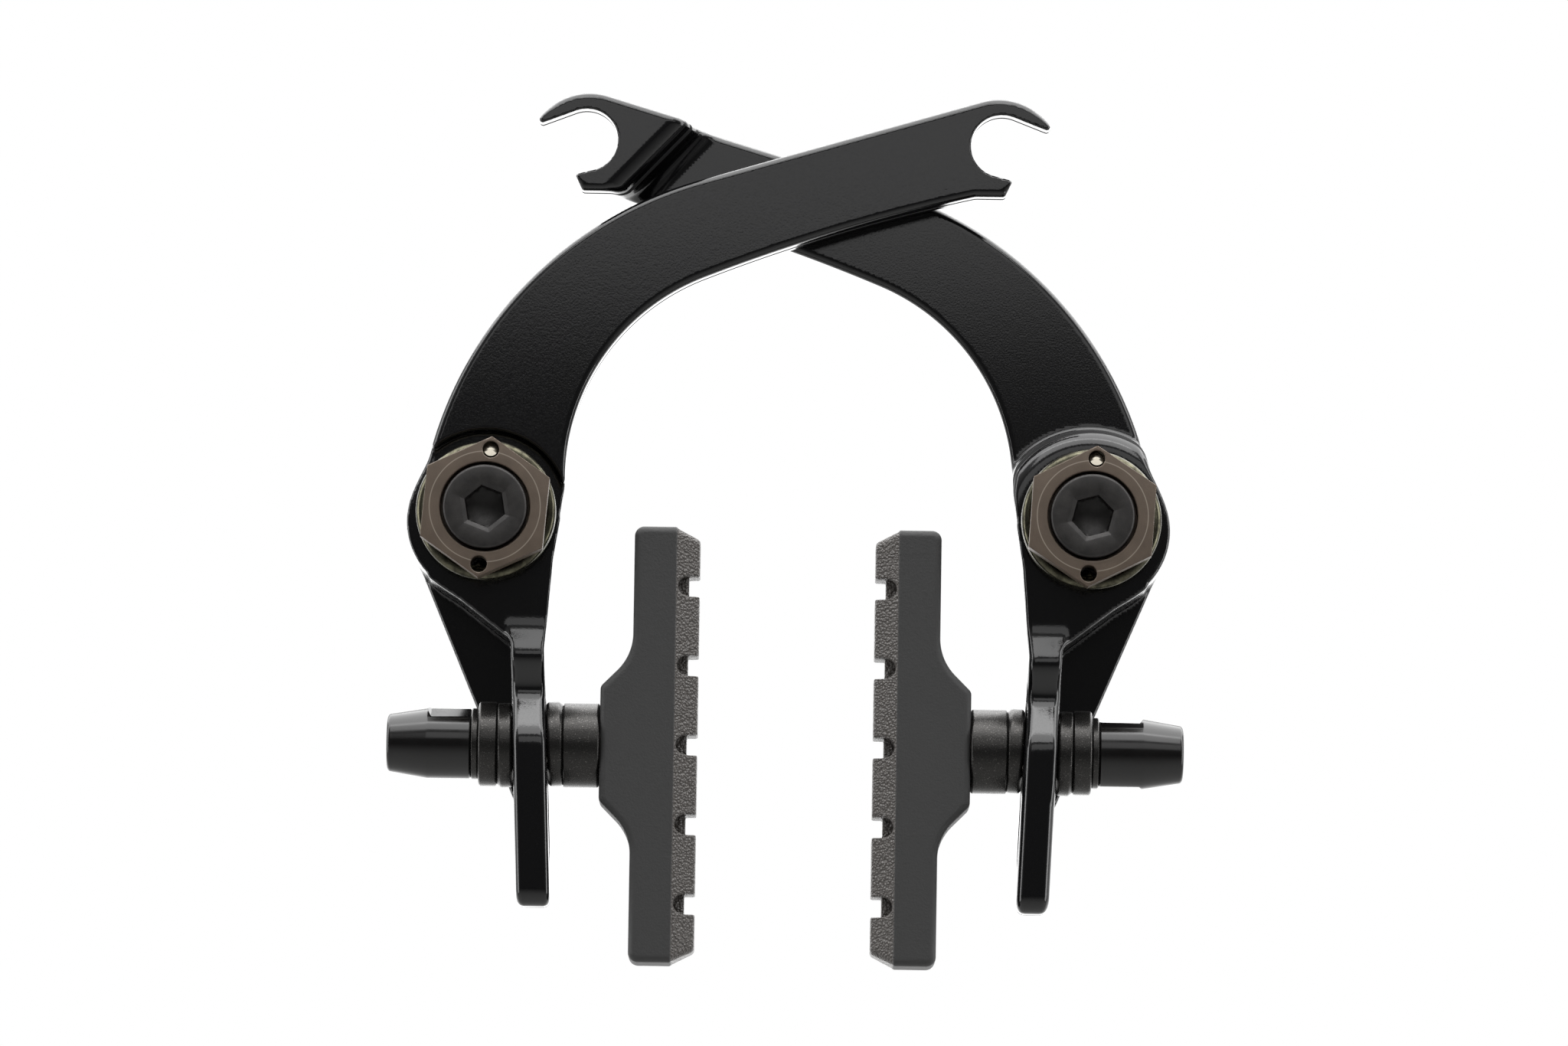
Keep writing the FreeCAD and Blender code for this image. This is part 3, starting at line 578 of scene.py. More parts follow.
def field_surface(field, low, high, cell):
    """The closed surface where a field is zero. Every grid cell that it crosses gets one point, the mean of
    the crossings of the cell's edges, and every crossed grid edge joins the four cells round it. Then the
    points move down the field's slope onto the surface, and the slope gives their normals."""
    axes = [np.arange(start - 2 * cell, end + 3 * cell, cell, np.float32) for start, end in zip(low, high)]
    shape = [len(axis) for axis in axes]
    values = np.array(np.broadcast_to(field(*np.meshgrid(*axes, indexing="ij", sparse=True)), shape))
    solid = values < 0
    cells = [count - 1 for count in shape]
    filled = np.zeros(cells, np.int8)
    for corner in np.ndindex(2, 2, 2):
        filled += solid[tuple(slice(start, start + count) for start, count in zip(corner, cells))]
    active = np.argwhere((filled > 0) & (filled < 8))
    number = np.full(cells, -1)
    number[tuple(active.T)] = np.arange(len(active))
    total, hits = np.zeros((len(active), 3)), np.zeros(len(active))
    quads = []
    for axis in range(3):
        one, two = (axis + 1) % 3, (axis + 2) % 3
        for offset in np.ndindex(2, 2):
            start = active.copy()
            start[:, one] += offset[0]
            start[:, two] += offset[1]
            end = start.copy()
            end[:, axis] += 1
            first, last = values[tuple(start.T)], values[tuple(end.T)]
            cross = (first < 0) != (last < 0)
            place = start.astype(float)
            place[:, axis] += np.where(cross, first / np.where(cross, first - last, 1), 0)
            total += place * cross[:, None]
            hits += cross
        near, far = [slice(1, -1)] * 3, [slice(1, -1)] * 3
        near[axis], far[axis] = slice(0, -1), slice(1, None)
        crossed = np.argwhere(solid[tuple(near)] != solid[tuple(far)])
        leaving = solid[tuple(near)][tuple(crossed.T)]
        crossed[:, one] += 1
        crossed[:, two] += 1
        ring = []
        for offset in ((-1, -1), (0, -1), (0, 0), (-1, 0)):
            around = crossed.copy()
            around[:, one] += offset[0]
            around[:, two] += offset[1]
            ring.append(number[tuple(around.T)])
        quad = np.stack(ring, 1)
        quads.append(np.where(leaving[:, None], quad, quad[:, ::-1]))
    points = np.array([axis[0] for axis in axes], float) + total / hits[:, None] * cell
    for _ in range(4):
        value, slope = field_slope(field, points, 0.1 * cell)
        push = np.clip(value / np.maximum((slope * slope).sum(1), 0.2), -0.5 * cell, 0.5 * cell)
        points -= push[:, None] * slope
    slope = field_slope(field, points, 0.15 * cell)[1]
    slope /= np.maximum(np.linalg.norm(slope, axis=1), 1e-6)[:, None]
    return points, np.concatenate(quads), slope


def place(side, points):
    """Points drawn from a pivot with U towards the wheel, moved to the left or right pivot."""
    way = SIDES[side]
    return points * (-way, 1, 1) + (way * PIVOT, 0, 0)


def show(name, mesh, finish, body, node):
    """Puts a mesh into the scene as a piece that rides on a body and stands for a node."""
    mesh.materials.append(finish)
    piece = bpy.data.objects.new(name, mesh)
    bpy.context.scene.collection.objects.link(piece)
    if body:
        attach(piece, body)
    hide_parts(node)
    return piece


def field_mesh(name, side, field, low, high, cell):
    """A mesh of a field's surface, placed on its side, with the field's own normals."""
    points, quads, normals = field_surface(field, low, high, cell)
    if SIDES[side] > 0:
        quads = quads[:, ::-1]
        normals = normals * (-1, 1, 1)
    mesh = bpy.data.meshes.new(name)
    mesh.from_pydata((place(side, points) * MM).tolist(), [], quads.tolist())
    mesh.shade_smooth()
    mesh.normals_split_custom_set_from_vertices(normals.tolist())
    return mesh


def grid_mesh(name, side, grid, closed, sharp=32):
    """A mesh of a grid of points (rows, columns) that is closed round its columns, and round its rows too
    where closed is true; rows of one point are poles. Doubles are merged and faces turned outwards."""
    rows, columns = grid.shape[:2]
    index = np.arange(rows * columns).reshape(rows, columns)
    if closed:
        index = np.concatenate((index, index[:1]))
    right = np.roll(index, -1, 1)
    quads = np.stack((index[:-1], index[1:], right[1:], right[:-1]), -1).reshape(-1, 4)
    mesh = bpy.data.meshes.new(name)
    mesh.from_pydata((place(side, grid.reshape(-1, 3)) * MM).tolist(), [], quads.tolist())
    work = bmesh.new()
    work.from_mesh(mesh)
    bmesh.ops.remove_doubles(work, verts=work.verts, dist=2e-6)
    bmesh.ops.recalc_face_normals(work, faces=work.faces)
    work.to_mesh(mesh)
    work.free()
    mesh.shade_smooth()
    mesh.set_sharp_from_angle(angle=np.radians(sharp))
    return mesh


def turned(radii, places, angles, centre, lean=0.0):
    """A grid turned about the shoe's post: each row has a distance from the axis and a place along it, for
    every angle; lean tips the axis in the front view."""
    radii, places = np.broadcast_arrays(radii, places)
    u, v = places, radii * np.sin(angles)
    y = -radii * np.cos(angles)
    tipped = (u * np.cos(lean) - v * np.sin(lean), y, u * np.sin(lean) + v * np.cos(lean))
    return np.stack(tipped, -1) + centre


def hexagon(angles, flats, first):
    """Distance from the axis to a hexagon's sides at angles, with a corner at the first angle."""
    turn = (angles - first) % (np.pi / 3) - np.pi / 6
    return 0.5 * flats / np.cos(turn)


def add(tree, kind, inputs=(), **settings):
    """Adds a node, sets its properties, and sets or links its inputs, given by name or number or as a list
    in the node's own order. A node given as an input stands for its first output that is in use."""
    node = tree.nodes.new(kind)
    for key, value in settings.items():
        setattr(node, key, value)
    for key, value in inputs.items() if isinstance(inputs, dict) else enumerate(inputs):
        if isinstance(value, bpy.types.Node):
            value = next(socket for socket in value.outputs if socket.enabled)
        if isinstance(value, bpy.types.NodeSocket):
            tree.links.new(value, node.inputs[key])
        else:
            node.inputs[key].default_value = value
    return node


def start_material(name):
    """A new node material with its Object coordinates."""
    material = bpy.data.materials.new(name)
    material.use_nodes = True
    material.node_tree.nodes.clear()
    return material, material.node_tree, add(material.node_tree, "ShaderNodeTexCoord").outputs["Object"]


def per_mm(size):
    """The texture scale that gives a pattern of a size in millimetres on Object coordinates in metres."""
    return 1 / (size * MM)


def darker(tone, share):
    """A colour with its red, green and blue cut to a share."""
    return (*(share * value for value in tone[:3]), 1.0)


# The list of a Map Range is a value, the range that it comes from and the range that it goes to
def gloss_coat(colours):
    """Forged aluminium under a thick gloss black coat: the eye gets near black with sharp pale lines on
    every round, a faint ripple in the reflections (orange peel, 1.1 mm), a fine grain (0.25 mm, drawn
    coarser than it is so that it shows) and a dull line along the sides where the forging dies met."""
    material, tree, spot = start_material("gloss_black_coat_on_forged_aluminium")
    peel = add(tree, "ShaderNodeTexNoise", {"Vector": spot, "Scale": per_mm(1.1), "Detail": 2.0})
    grain = add(tree, "ShaderNodeTexNoise", {"Vector": spot, "Scale": per_mm(0.25), "Detail": 2.0})
    rough = add(tree, "ShaderNodeMapRange", [grain, 0.3, 0.7, 0.09, 0.14])
    bump = add(tree, "ShaderNodeBump", {"Height": peel, "Strength": 0.012, "Distance": 0.20 * MM})
    fine = add(tree, "ShaderNodeBump", {
        "Height": grain, "Strength": 0.10, "Distance": 0.06 * MM, "Normal": bump})
    depth = add(tree, "ShaderNodeSeparateXYZ", [spot]).outputs["Y"]
    off = add(tree, "ShaderNodeMath", [depth, PARTING_Y * MM], operation="SUBTRACT")
    near = add(tree, "ShaderNodeMath", [off], operation="ABSOLUTE")
    dull = add(tree, "ShaderNodeMapRange", [near, 0.4 * MM, 0.6 * MM, 1.0, 0.0])
    rough = add(tree, "ShaderNodeMath", [rough, dull], operation="MAXIMUM")
    shader = add(tree, "ShaderNodeBsdfPrincipled", {
        "Base Color": colours.coat, "Roughness": rough, "IOR": 1.5, "Normal": fine})
    add(tree, "ShaderNodeOutputMaterial", {"Surface": shader})
    return material


def phosphated_steel(colours, face):
    """Cold-formed steel with a brown phosphate finish and a turned face: satin brown, cloudy (2.2 mm), with
    concentric tool marks (0.35 mm) and a grit (0.2 mm) that are drawn coarser than they are so that they
    show. A faint pale line where the turned face ends is a painted highlight, which stands in for the
    shine on that edge."""
    material, tree, spot = start_material("brown_phosphated_turned_steel")
    parts = add(tree, "ShaderNodeSeparateXYZ", [spot])
    mirrored = add(tree, "ShaderNodeMath", [parts.outputs["X"]], operation="ABSOLUTE")
    across = add(tree, "ShaderNodeMath", [mirrored, PIVOT * MM], operation="SUBTRACT")
    flat = add(tree, "ShaderNodeCombineXYZ", [across, parts.outputs["Z"]])
    reach = add(tree, "ShaderNodeVectorMath", [flat], operation="LENGTH")
    clouds = add(tree, "ShaderNodeTexNoise", {"Vector": spot, "Scale": per_mm(2.2), "Detail": 6.0})
    rings = add(tree, "ShaderNodeTexNoise", {
        "W": reach, "Scale": per_mm(0.35), "Detail": 3.0}, noise_dimensions="1D")
    grit = add(tree, "ShaderNodeTexNoise", {"Vector": spot, "Scale": per_mm(0.2), "Detail": 2.0})
    # Painted highlight: a thin pale ring mixed into the colour at the edge of the turned face stands in for
    # the shine of that edge
    off = add(tree, "ShaderNodeMath", [reach, face], operation="SUBTRACT")
    near = add(tree, "ShaderNodeMath", [off], operation="ABSOLUTE")
    line = add(tree, "ShaderNodeMapRange", [near, 0.03 * MM, 0.10 * MM, 0.35, 0.0])
    dull = add(tree, "ShaderNodeMapRange", [clouds, 0.3, 0.75, 0.0, 1.0])
    base = add(tree, "ShaderNodeMix", {
        "Factor": dull, COLOUR_A: darker(colours.nut, 0.8), COLOUR_B: colours.nut}, data_type="RGBA")
    bright = add(tree, "ShaderNodeMix", {
        "Factor": line, COLOUR_A: base, COLOUR_B: linear("#b8aea0")}, data_type="RGBA")
    rough = add(tree, "ShaderNodeMapRange", [grit, 0.25, 0.75, 0.34, 0.52])
    bump = add(tree, "ShaderNodeBump", {"Height": rings, "Strength": 0.15, "Distance": 0.08 * MM})
    fine = add(tree, "ShaderNodeBump", {
        "Height": grit, "Strength": 0.2, "Distance": 0.04 * MM, "Normal": bump})
    shader = add(tree, "ShaderNodeBsdfPrincipled", {
        "Base Color": bright, "Metallic": 0.3, "Roughness": rough, "Normal": fine})
    add(tree, "ShaderNodeOutputMaterial", {"Surface": shader})
    return material


def black_oxide(colours):
    """Alloy steel with a chemical black finish: dark grey, dull, cloudy and finely speckled (0.18 mm, drawn
    coarser than it is so that it shows)."""
    material, tree, spot = start_material("black_oxide_alloy_steel")
    speck = add(tree, "ShaderNodeTexNoise", {"Vector": spot, "Scale": per_mm(0.18), "Detail": 4.0})
    cloud = add(tree, "ShaderNodeTexNoise", {"Vector": spot, "Scale": per_mm(1.4), "Detail": 3.0})
    mix = add(tree, "ShaderNodeMapRange", [cloud, 0.3, 0.7, 0.0, 1.0])
    base = add(tree, "ShaderNodeMix", {
        "Factor": mix, COLOUR_A: darker(colours.oxide, 0.55), COLOUR_B: colours.oxide}, data_type="RGBA")
    rough = add(tree, "ShaderNodeMapRange", [speck, 0.3, 0.7, 0.36, 0.56])
    bump = add(tree, "ShaderNodeBump", {"Height": speck, "Strength": 0.3, "Distance": 0.04 * MM})
    shader = add(tree, "ShaderNodeBsdfPrincipled", {
        "Base Color": base, "Metallic": 0.4, "Roughness": rough, "Normal": bump})
    add(tree, "ShaderNodeOutputMaterial", {"Surface": shader})
    return material


def spring_wire(colours):
    """Drawn spring steel, zinc plated and yellow passivated: dull olive with soft patches of 1 mm, and paler
    bare steel at the cut front end."""
    material, tree, spot = start_material("yellow_passivated_drawn_wire")
    cloud = add(tree, "ShaderNodeTexNoise", {"Vector": spot, "Scale": per_mm(1.0), "Detail": 4.0})
    mix = add(tree, "ShaderNodeMapRange", [cloud, 0.3, 0.7, 0.0, 1.0])
    base = add(tree, "ShaderNodeMix", {
        "Factor": mix, COLOUR_A: linear("#33312a"), COLOUR_B: colours.wire}, data_type="RGBA")
    depth = add(tree, "ShaderNodeSeparateXYZ", [spot]).outputs["Y"]
    cut = add(tree, "ShaderNodeMapRange", [depth, -20.4 * MM, -20.8 * MM, 0.0, 1.0])
    base = add(tree, "ShaderNodeMix", {
        "Factor": cut, COLOUR_A: base, COLOUR_B: linear("#77736a")}, data_type="RGBA")
    rough = add(tree, "ShaderNodeMapRange", [cloud, 0.3, 0.7, 0.34, 0.2])
    bump = add(tree, "ShaderNodeBump", {"Height": cloud, "Strength": 0.05, "Distance": 0.02 * MM})
    shader = add(tree, "ShaderNodeBsdfPrincipled", {
        "Base Color": base, "Metallic": 1.0, "Roughness": rough, "Normal": bump})
    add(tree, "ShaderNodeOutputMaterial", {"Surface": shader})
    return material


def pressed_washer(colours):
    """Pressed and tumbled steel with a thin black finish: satin dark metal with tiny paler specks (0.22 mm,
    drawn coarser than they are so that they show)."""
    material, tree, spot = start_material("black_coated_pressed_steel")
    grit = add(tree, "ShaderNodeTexNoise", {"Vector": spot, "Scale": per_mm(0.22), "Detail": 3.0})
    speck = add(tree, "ShaderNodeMapRange", [grit, 0.60, 0.72, 0.0, 1.0])
    base = add(tree, "ShaderNodeMix", {
        "Factor": speck, COLOUR_A: colours.washer, COLOUR_B: linear("#5a5856")}, data_type="RGBA")
    rough = add(tree, "ShaderNodeMapRange", [grit, 0.3, 0.7, 0.34, 0.24])
    bump = add(tree, "ShaderNodeBump", {"Height": grit, "Strength": 0.35, "Distance": 0.06 * MM})
    shader = add(tree, "ShaderNodeBsdfPrincipled", {
        "Base Color": base, "Metallic": 0.85, "Roughness": rough, "Normal": bump})
    add(tree, "ShaderNodeOutputMaterial", {"Surface": shader})
    return material


def nut_lacquer(colours):
    """Turned aluminium under glossy black lacquer: deep black with sharp bright bands along the length, and
    patches of 3 mm that are a little duller."""
    material, tree, spot = start_material("gloss_lacquered_turned_aluminium")
    cloud = add(tree, "ShaderNodeTexNoise", {"Vector": spot, "Scale": per_mm(3.0), "Detail": 2.0})
    rough = add(tree, "ShaderNodeMapRange", [cloud, 0.3, 0.7, 0.14, 0.20])
    shader = add(tree, "ShaderNodeBsdfPrincipled", {
        "Base Color": colours.lacquer, "Roughness": rough, "IOR": 1.5})
    add(tree, "ShaderNodeOutputMaterial", {"Surface": shader})
    return material


def turned_steel(colours):
    """Turned and zinc plated steel: pale grey metal with a fine grit (0.3 mm, drawn coarser than it is so
    that it shows)."""
    material, tree, spot = start_material("zinc_plated_turned_steel")
    grit = add(tree, "ShaderNodeTexNoise", {"Vector": spot, "Scale": per_mm(0.3), "Detail": 3.0})
    rough = add(tree, "ShaderNodeMapRange", [grit, 0.3, 0.7, 0.28, 0.42])
    bump = add(tree, "ShaderNodeBump", {"Height": grit, "Strength": 0.15, "Distance": 0.04 * MM})
    shader = add(tree, "ShaderNodeBsdfPrincipled", {
        "Base Color": colours.steel, "Metallic": 1.0, "Roughness": rough, "Normal": bump})
    add(tree, "ShaderNodeOutputMaterial", {"Surface": shader})
    return material


def brake_rubber(colours):
    """Moulded rubber: the back is matt with a fine spark-eroded grain (0.3 mm), and the friction layer is
    pebbled (0.34 mm), paler, with small glints."""
    material, tree, spot = start_material("moulded_brake_rubber")
    parts = add(tree, "ShaderNodeSeparateXYZ", [spot])
    mirrored = add(tree, "ShaderNodeMath", [parts.outputs["X"]], operation="ABSOLUTE")
    rim, blur = (PIVOT - SHOE[0] - TREAD_BASE) * MM, 0.1 * MM
    tread = add(tree, "ShaderNodeMapRange", [mirrored, rim + blur, rim - blur, 0.0, 1.0])
    grain = add(tree, "ShaderNodeTexNoise", {"Vector": spot, "Scale": per_mm(0.3), "Detail": 3.0})
    pebble = add(tree, "ShaderNodeTexVoronoi", {"Vector": spot, "Scale": per_mm(0.34)})
    fine = add(tree, "ShaderNodeBump", {"Height": grain, "Strength": 0.5, "Distance": 0.08 * MM})
    coarse = add(tree, "ShaderNodeBump", {
        "Height": pebble, "Strength": tread, "Distance": 0.26 * MM, "Normal": fine}, invert=True)
    base = add(tree, "ShaderNodeMix", {
        "Factor": tread, COLOUR_A: colours.rubber, COLOUR_B: colours.tread}, data_type="RGBA")
    rough = add(tree, "ShaderNodeMapRange", [tread, 0.0, 1.0, 0.62, 0.36])
    shader = add(tree, "ShaderNodeBsdfPrincipled", {
        "Base Color": base, "Roughness": rough, "IOR": 1.52, "Normal": coarse})
    add(tree, "ShaderNodeOutputMaterial", {"Surface": shader})
    return material


class UBRAKE_OT_arms(bpy.types.Operator):
    """Build the two forged arms with their hooks, bosses, slotted plates and webs"""

    bl_idname = "ubrake.arms"
    bl_label = "Forged Arms"

    def execute(self, context):
        shape = context.scene.ubrake_arm
        finish = gloss_coat(context.scene.ubrake_finish)
        for side in SIDES:
            def field(u, y, z):
                return arm_field(side, shape, u, y, z)
            mesh = field_mesh(side + "_forged_arm", side, field, *ARM_BOX, shape.cell / MM)
            show(side + "_forged_arm", mesh, finish, side + "_arm", side + "_arm")
        return {"FINISHED"}


def nut_field(side, face, u, y, z):
    """A hexagon prism with a cone that leaves a round face, less a counterbore, a bore and two holes."""
    turn = np.radians(90 - NUT_TURN[side])
    reach = np.hypot(u, z)
    nut = np.full(np.broadcast(u, y, z).shape, -FAR)
    for step in range(3):
        angle = turn + np.pi / 6 + step * np.pi / 3
        nut = np.maximum(nut, np.abs(u * np.cos(angle) + z * np.sin(angle)) - NUT_HALF)
    nut = round_and(nut, np.abs(y - 0.5 * (NUT_FRONT + NUT_BACK)) - 0.5 * (NUT_BACK - NUT_FRONT), 0.15)
    run = NUT_CORNER - face
    cone = ((reach - face) * CONE_DROP - (y - NUT_FRONT) * run) / np.hypot(CONE_DROP, run)
    nut = round_and(nut, cone, 0.04)
    nut = round_and(nut, -np.maximum(reach - COUNTERBORE, y - COUNTERBORE_Y), 0.14)
    nut = round_and(nut, NUT_BORE - reach, 0.1)
    for way in (0, np.pi):
        off = SPRING_RADIUS * np.cos(turn + way), SPRING_RADIUS * np.sin(turn + way)
        nut = round_and(nut, SPRING_HOLE - np.hypot(u - off[0], z - off[1]), 0.12)
    return nut


class UBRAKE_OT_spring_nuts(bpy.types.Operator):
    """Build the two hexagonal spring nuts with their counterbores and spring holes"""

    bl_idname = "ubrake.spring_nuts"
    bl_label = "Spring Nuts"

    def execute(self, context):
        shape = context.scene.ubrake_hardware
        finish = phosphated_steel(context.scene.ubrake_finish, shape.nut_face)
        for side in SIDES:
            def field(u, y, z):
                return nut_field(side, shape.nut_face / MM, u, y, z)
            low, high = (-NUT_BOX, NUT_FRONT, -NUT_BOX), (NUT_BOX, NUT_BACK, NUT_BOX)
            mesh = field_mesh(side + "_hexagon_nut", side, field, low, high, shape.cell / MM)
            show(side + "_hexagon_nut", mesh, finish, "pivots", side + "_spring_nut")
        return {"FINISHED"}


def circle(count):
    """Equal angles round a circle."""
    return np.linspace(0, 2 * np.pi, count, endpoint=False)


def thread_rows(angles, start, end, pitch):
    """Rows of a thread along its axis, eight to a pitch: the radius follows a triangle wave that climbs a
    pitch each turn."""
    steps = np.arange(start, end, pitch / 8)
    wave = np.abs((steps[:, None] / pitch - angles / (2 * np.pi)) % 1 - 0.5) * 2
    return [(THREAD - THREAD_DEPTH * crest, step) for crest, step in zip(wave, steps)]


def stack_rows(rows, angles):
    """Rows of distance from an axis, one or one for every angle, and of place along it, as two arrays."""
    radii = np.stack([np.broadcast_to(row[0], angles.shape) for row in rows])
    return radii, np.array([row[1] for row in rows])[:, None]


def bolt_grid(side, pitch):
    """A bolt as rows of distance from its axis and place along it: drilled floor, hexagon socket with a
    bevel, head, neck, a threaded shank and its end."""
    angles = circle(192)
    first = np.radians(90 - KEY_TURN[side])
    socket = hexagon(angles, KEY, first)
    mouth = hexagon(angles, KEY_BEVEL, first)
    rows = [
        (0, -18.6), (2.3, -19.75), (2.42, -19.85), (socket - 0.12, -19.95), (socket, -20.1), (socket, -21.9),
        (socket + 0.03, -21.97), (mouth - 0.05, -22.27), (mouth + 0.04, BOLT_FRONT), (5.2, BOLT_FRONT),
        (5.38, -22.25), (5.52, -22.12), (BOLT_HEAD, -21.9), (BOLT_HEAD, -19.2), (5.5, -19.02),
        (3.0, COUNTERBORE_Y), *thread_rows(angles, -16.5, 3.6, pitch), (2.4, BOLT_END), (0, BOLT_END),
    ]
    radii, depth = stack_rows(rows, angles)
    return np.stack((radii * np.cos(angles), depth * np.ones_like(radii), radii * np.sin(angles)), -1)


class UBRAKE_OT_bolts(bpy.types.Operator):
    """Build the two pivot bolts with hexagon key sockets and threaded shanks"""

    bl_idname = "ubrake.bolts"
    bl_label = "Pivot Bolts"

    def execute(self, context):
        finish = black_oxide(context.scene.ubrake_finish)
        for side in SIDES:
            grid = bolt_grid(side, context.scene.ubrake_hardware.pitch / MM)
            mesh = grid_mesh(side + "_key_bolt", side, grid, False)
            show(side + "_key_bolt", mesh, finish, "pivots", side + "_pivot_bolt")
        return {"FINISHED"}


def spring_path(side):
    """The wire's path: a straight front tail in the nut, one and a half turns of a helix, a straight rear
    tail in the arm. It is resampled every 0.1 mm and smoothed over 13 samples, which bends the wire where
    the tails leave the coil."""
    samples, width = 400, 13
    turn = np.radians(np.linspace(-90, 450, samples) - NUT_TURN[side])
    depth = np.linspace(COIL_BACK, COIL_FRONT, samples)
    coil = np.stack((COIL_RADIUS * np.cos(turn), depth, COIL_RADIUS * np.sin(turn)), 1)
    inset = np.array((SPRING_RADIUS / COIL_RADIUS, 1, SPRING_RADIUS / COIL_RADIUS))
    rear = coil[0] * inset + np.linspace(3.0, 0.0, 40)[:, None] * (0, 1, 0)
    reach = COIL_FRONT - NUT_FRONT - 0.15
    front = coil[-1] * inset - np.linspace(0.0, reach, 60)[:, None] * (0, 1, 0)
    path = np.concatenate((rear[:-1], coil, front[1:]))
    travel = np.concatenate(([0], np.cumsum(np.linalg.norm(np.diff(path, axis=0), axis=1))))
    even = np.arange(0, travel[-1], 0.1)
    path = np.stack([np.interp(even, travel, path[:, axis]) for axis in range(3)], 1)
    padded = np.pad(path, ((width // 2, width // 2), (0, 0)), mode="edge")
    window = np.ones(width) / width
    return np.stack([np.convolve(padded[:, axis], window, "valid") for axis in range(3)], 1)


def spring_grid(side, wire):
    """A round section carried along the wire's path: at each point one axis of the section is the direction
    from the pivot made square to the path, and the other is square to both; the front end is cut aslant."""
    path = spring_path(side)
    ahead = np.gradient(path, axis=0)
    ahead /= np.linalg.norm(ahead, axis=1)[:, None]
    outward = path * (1, 0, 1)
    outward -= (outward * ahead).sum(1)[:, None] * ahead
    outward /= np.linalg.norm(outward, axis=1)[:, None]
    across = np.cross(ahead, outward)
    angles = circle(20)[:, None, None]
    radius = np.full(len(path), 0.5 * wire)
    radius[[0, -1]] = 0.0
    radius[[1, -2]] = 0.48 * wire
    tube = path + radius[:, None] * (np.cos(angles) * outward + np.sin(angles) * across)
    run = 10
    slant = 0.5 * np.clip(np.arange(len(path)) - len(path) + run + 2, 0, run) / run
    tube = tube + (slant * radius)[:, None] * np.cos(angles) * (0, 1, 0)
    return tube.swapaxes(0, 1)


class UBRAKE_OT_springs(bpy.types.Operator):
    """Build the two torsion springs, which twist between the nuts and the arms"""

    bl_idname = "ubrake.springs"
    bl_label = "Torsion Springs"

    def execute(self, context):
        finish = spring_wire(context.scene.ubrake_finish)
        for side, way in SIDES.items():
            grid = spring_grid(side, context.scene.ubrake_hardware.wire / MM)
            mesh = grid_mesh(side + "_coil", side, grid, False, sharp=60)
            piece = show(side + "_coil", mesh, finish, None, side + "_torsion_spring")
            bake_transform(piece)
        return {"FINISHED"}


def washer_grid(corners, way, lean):
    """A closed section (distance from the axis, place along it, round) turned round the shoe's post, on the
    wheel's side (way 1) or the outer side (way -1)."""
    section = run_points(rounded_runs(corners), 6)
    angles = circle(128)
    return turned(section[:, :1], way * section[:, 1:], angles, SHOE, lean)


class UBRAKE_OT_washers(bpy.types.Operator):
    """Build the ball seats of both shoes: domes, cups and flat washers"""

    bl_idname = "ubrake.washers"
    bl_label = "Ball Washers"

    def execute(self, context):
        finish = pressed_washer(context.scene.ubrake_finish)
        for side in SIDES:
            for layer, way in (("inner", 1), ("outer", -1)):
                name, end = f"{side}_{layer}", CUP_ENDS[layer]
                mesh = grid_mesh(name + "_dome", side, washer_grid(DOME, way, PLATE_LEAN), True)
                show(name + "_dome", mesh, finish, side + "_ball_seat", name + "_dome_washer")
                cup = [*CUP_SEAT, (CUP_HOLE, end, 0.12), (CUP_RIM, end, 0.4)]
                mesh = grid_mesh(name + "_cup", side, washer_grid(cup, way, 0.0), True)
                show(name + "_cup", mesh, finish, side + "_ball_cups", name + "_cup_washer")
            mesh = grid_mesh(side + "_plain_washer", side, washer_grid(FLAT_WASHER, -1, 0.0), True)
            show(side + "_plain_washer", mesh, finish, side + "_shoe", side + "_flat_washer")
        return {"FINISHED"}


def pad_nut_grid(side):
    """A long nut as rows along the post: two milled flats cap the turned radius at their distance over the
    cosine of the angle, a taper, a rounded nose, a hexagon socket, and the bore that takes the post."""
    angles = circle(192)
    facing = np.maximum(np.abs(np.cos(angles - np.radians(FLAT_TURN[side]))), 1e-3)
    socket = hexagon(angles, KEY, np.pi / 2)
    foot, taper, nose, body = 7.92, 13.8, 18.6, 4.75
    along = np.concatenate((np.linspace(foot, 8.2, 5), np.linspace(8.3, nose, 104)))
    profile = np.interp(along, (foot, 8.0, 8.12, taper, nose), (4.5, 4.66, body, body, 3.95))
    flats = np.interp(along, (foot, 13.3, taper, 14.2), (4.3, 4.3, 4.8, 5.4))
    wall = np.minimum(profile[:, None], flats[:, None] / facing)
    bend = np.radians(np.linspace(10, 90, 8))
    rows = [
        (CUP_HOLE, foot), *zip(wall, along),
        *zip(3.33 + 0.62 * np.cos(bend), 18.58 + 0.62 * np.sin(bend)),
        (socket + 0.25, 19.2), (socket, 18.95), (socket, 17.0), (2.4, 16.9),
        (POST_HOLE, 15.1), (POST_HOLE, 8.1),
    ]
    radii, places = stack_rows(rows, angles)
    return turned(radii, -places, angles, SHOE)


class UBRAKE_OT_pad_nuts(bpy.types.Operator):
    """Build the two long tapered pad nuts"""

    bl_idname = "ubrake.pad_nuts"
    bl_label = "Pad Nuts"

    def execute(self, context):
        finish = nut_lacquer(context.scene.ubrake_finish)
        for side in SIDES:
            mesh = grid_mesh(side + "_long_nut", side, pad_nut_grid(side), True)
            show(side + "_long_nut", mesh, finish, side + "_shoe", side + "_pad_nut")
        return {"FINISHED"}


def post_grid(pitch):
    """A threaded post with the flange that holds it in the rubber, as rows along its axis."""
    angles = circle(96)
    front, back = FLANGE_FACES
    rows = [
        (0, POST_END), (2.5, POST_END), *thread_rows(angles, -14.6, 8.6, pitch),
        (THREAD, 9.0), (THREAD, front), (FLANGE, front), (FLANGE, back), (0, back),
    ]
    return turned(*stack_rows(rows, angles), angles, SHOE)


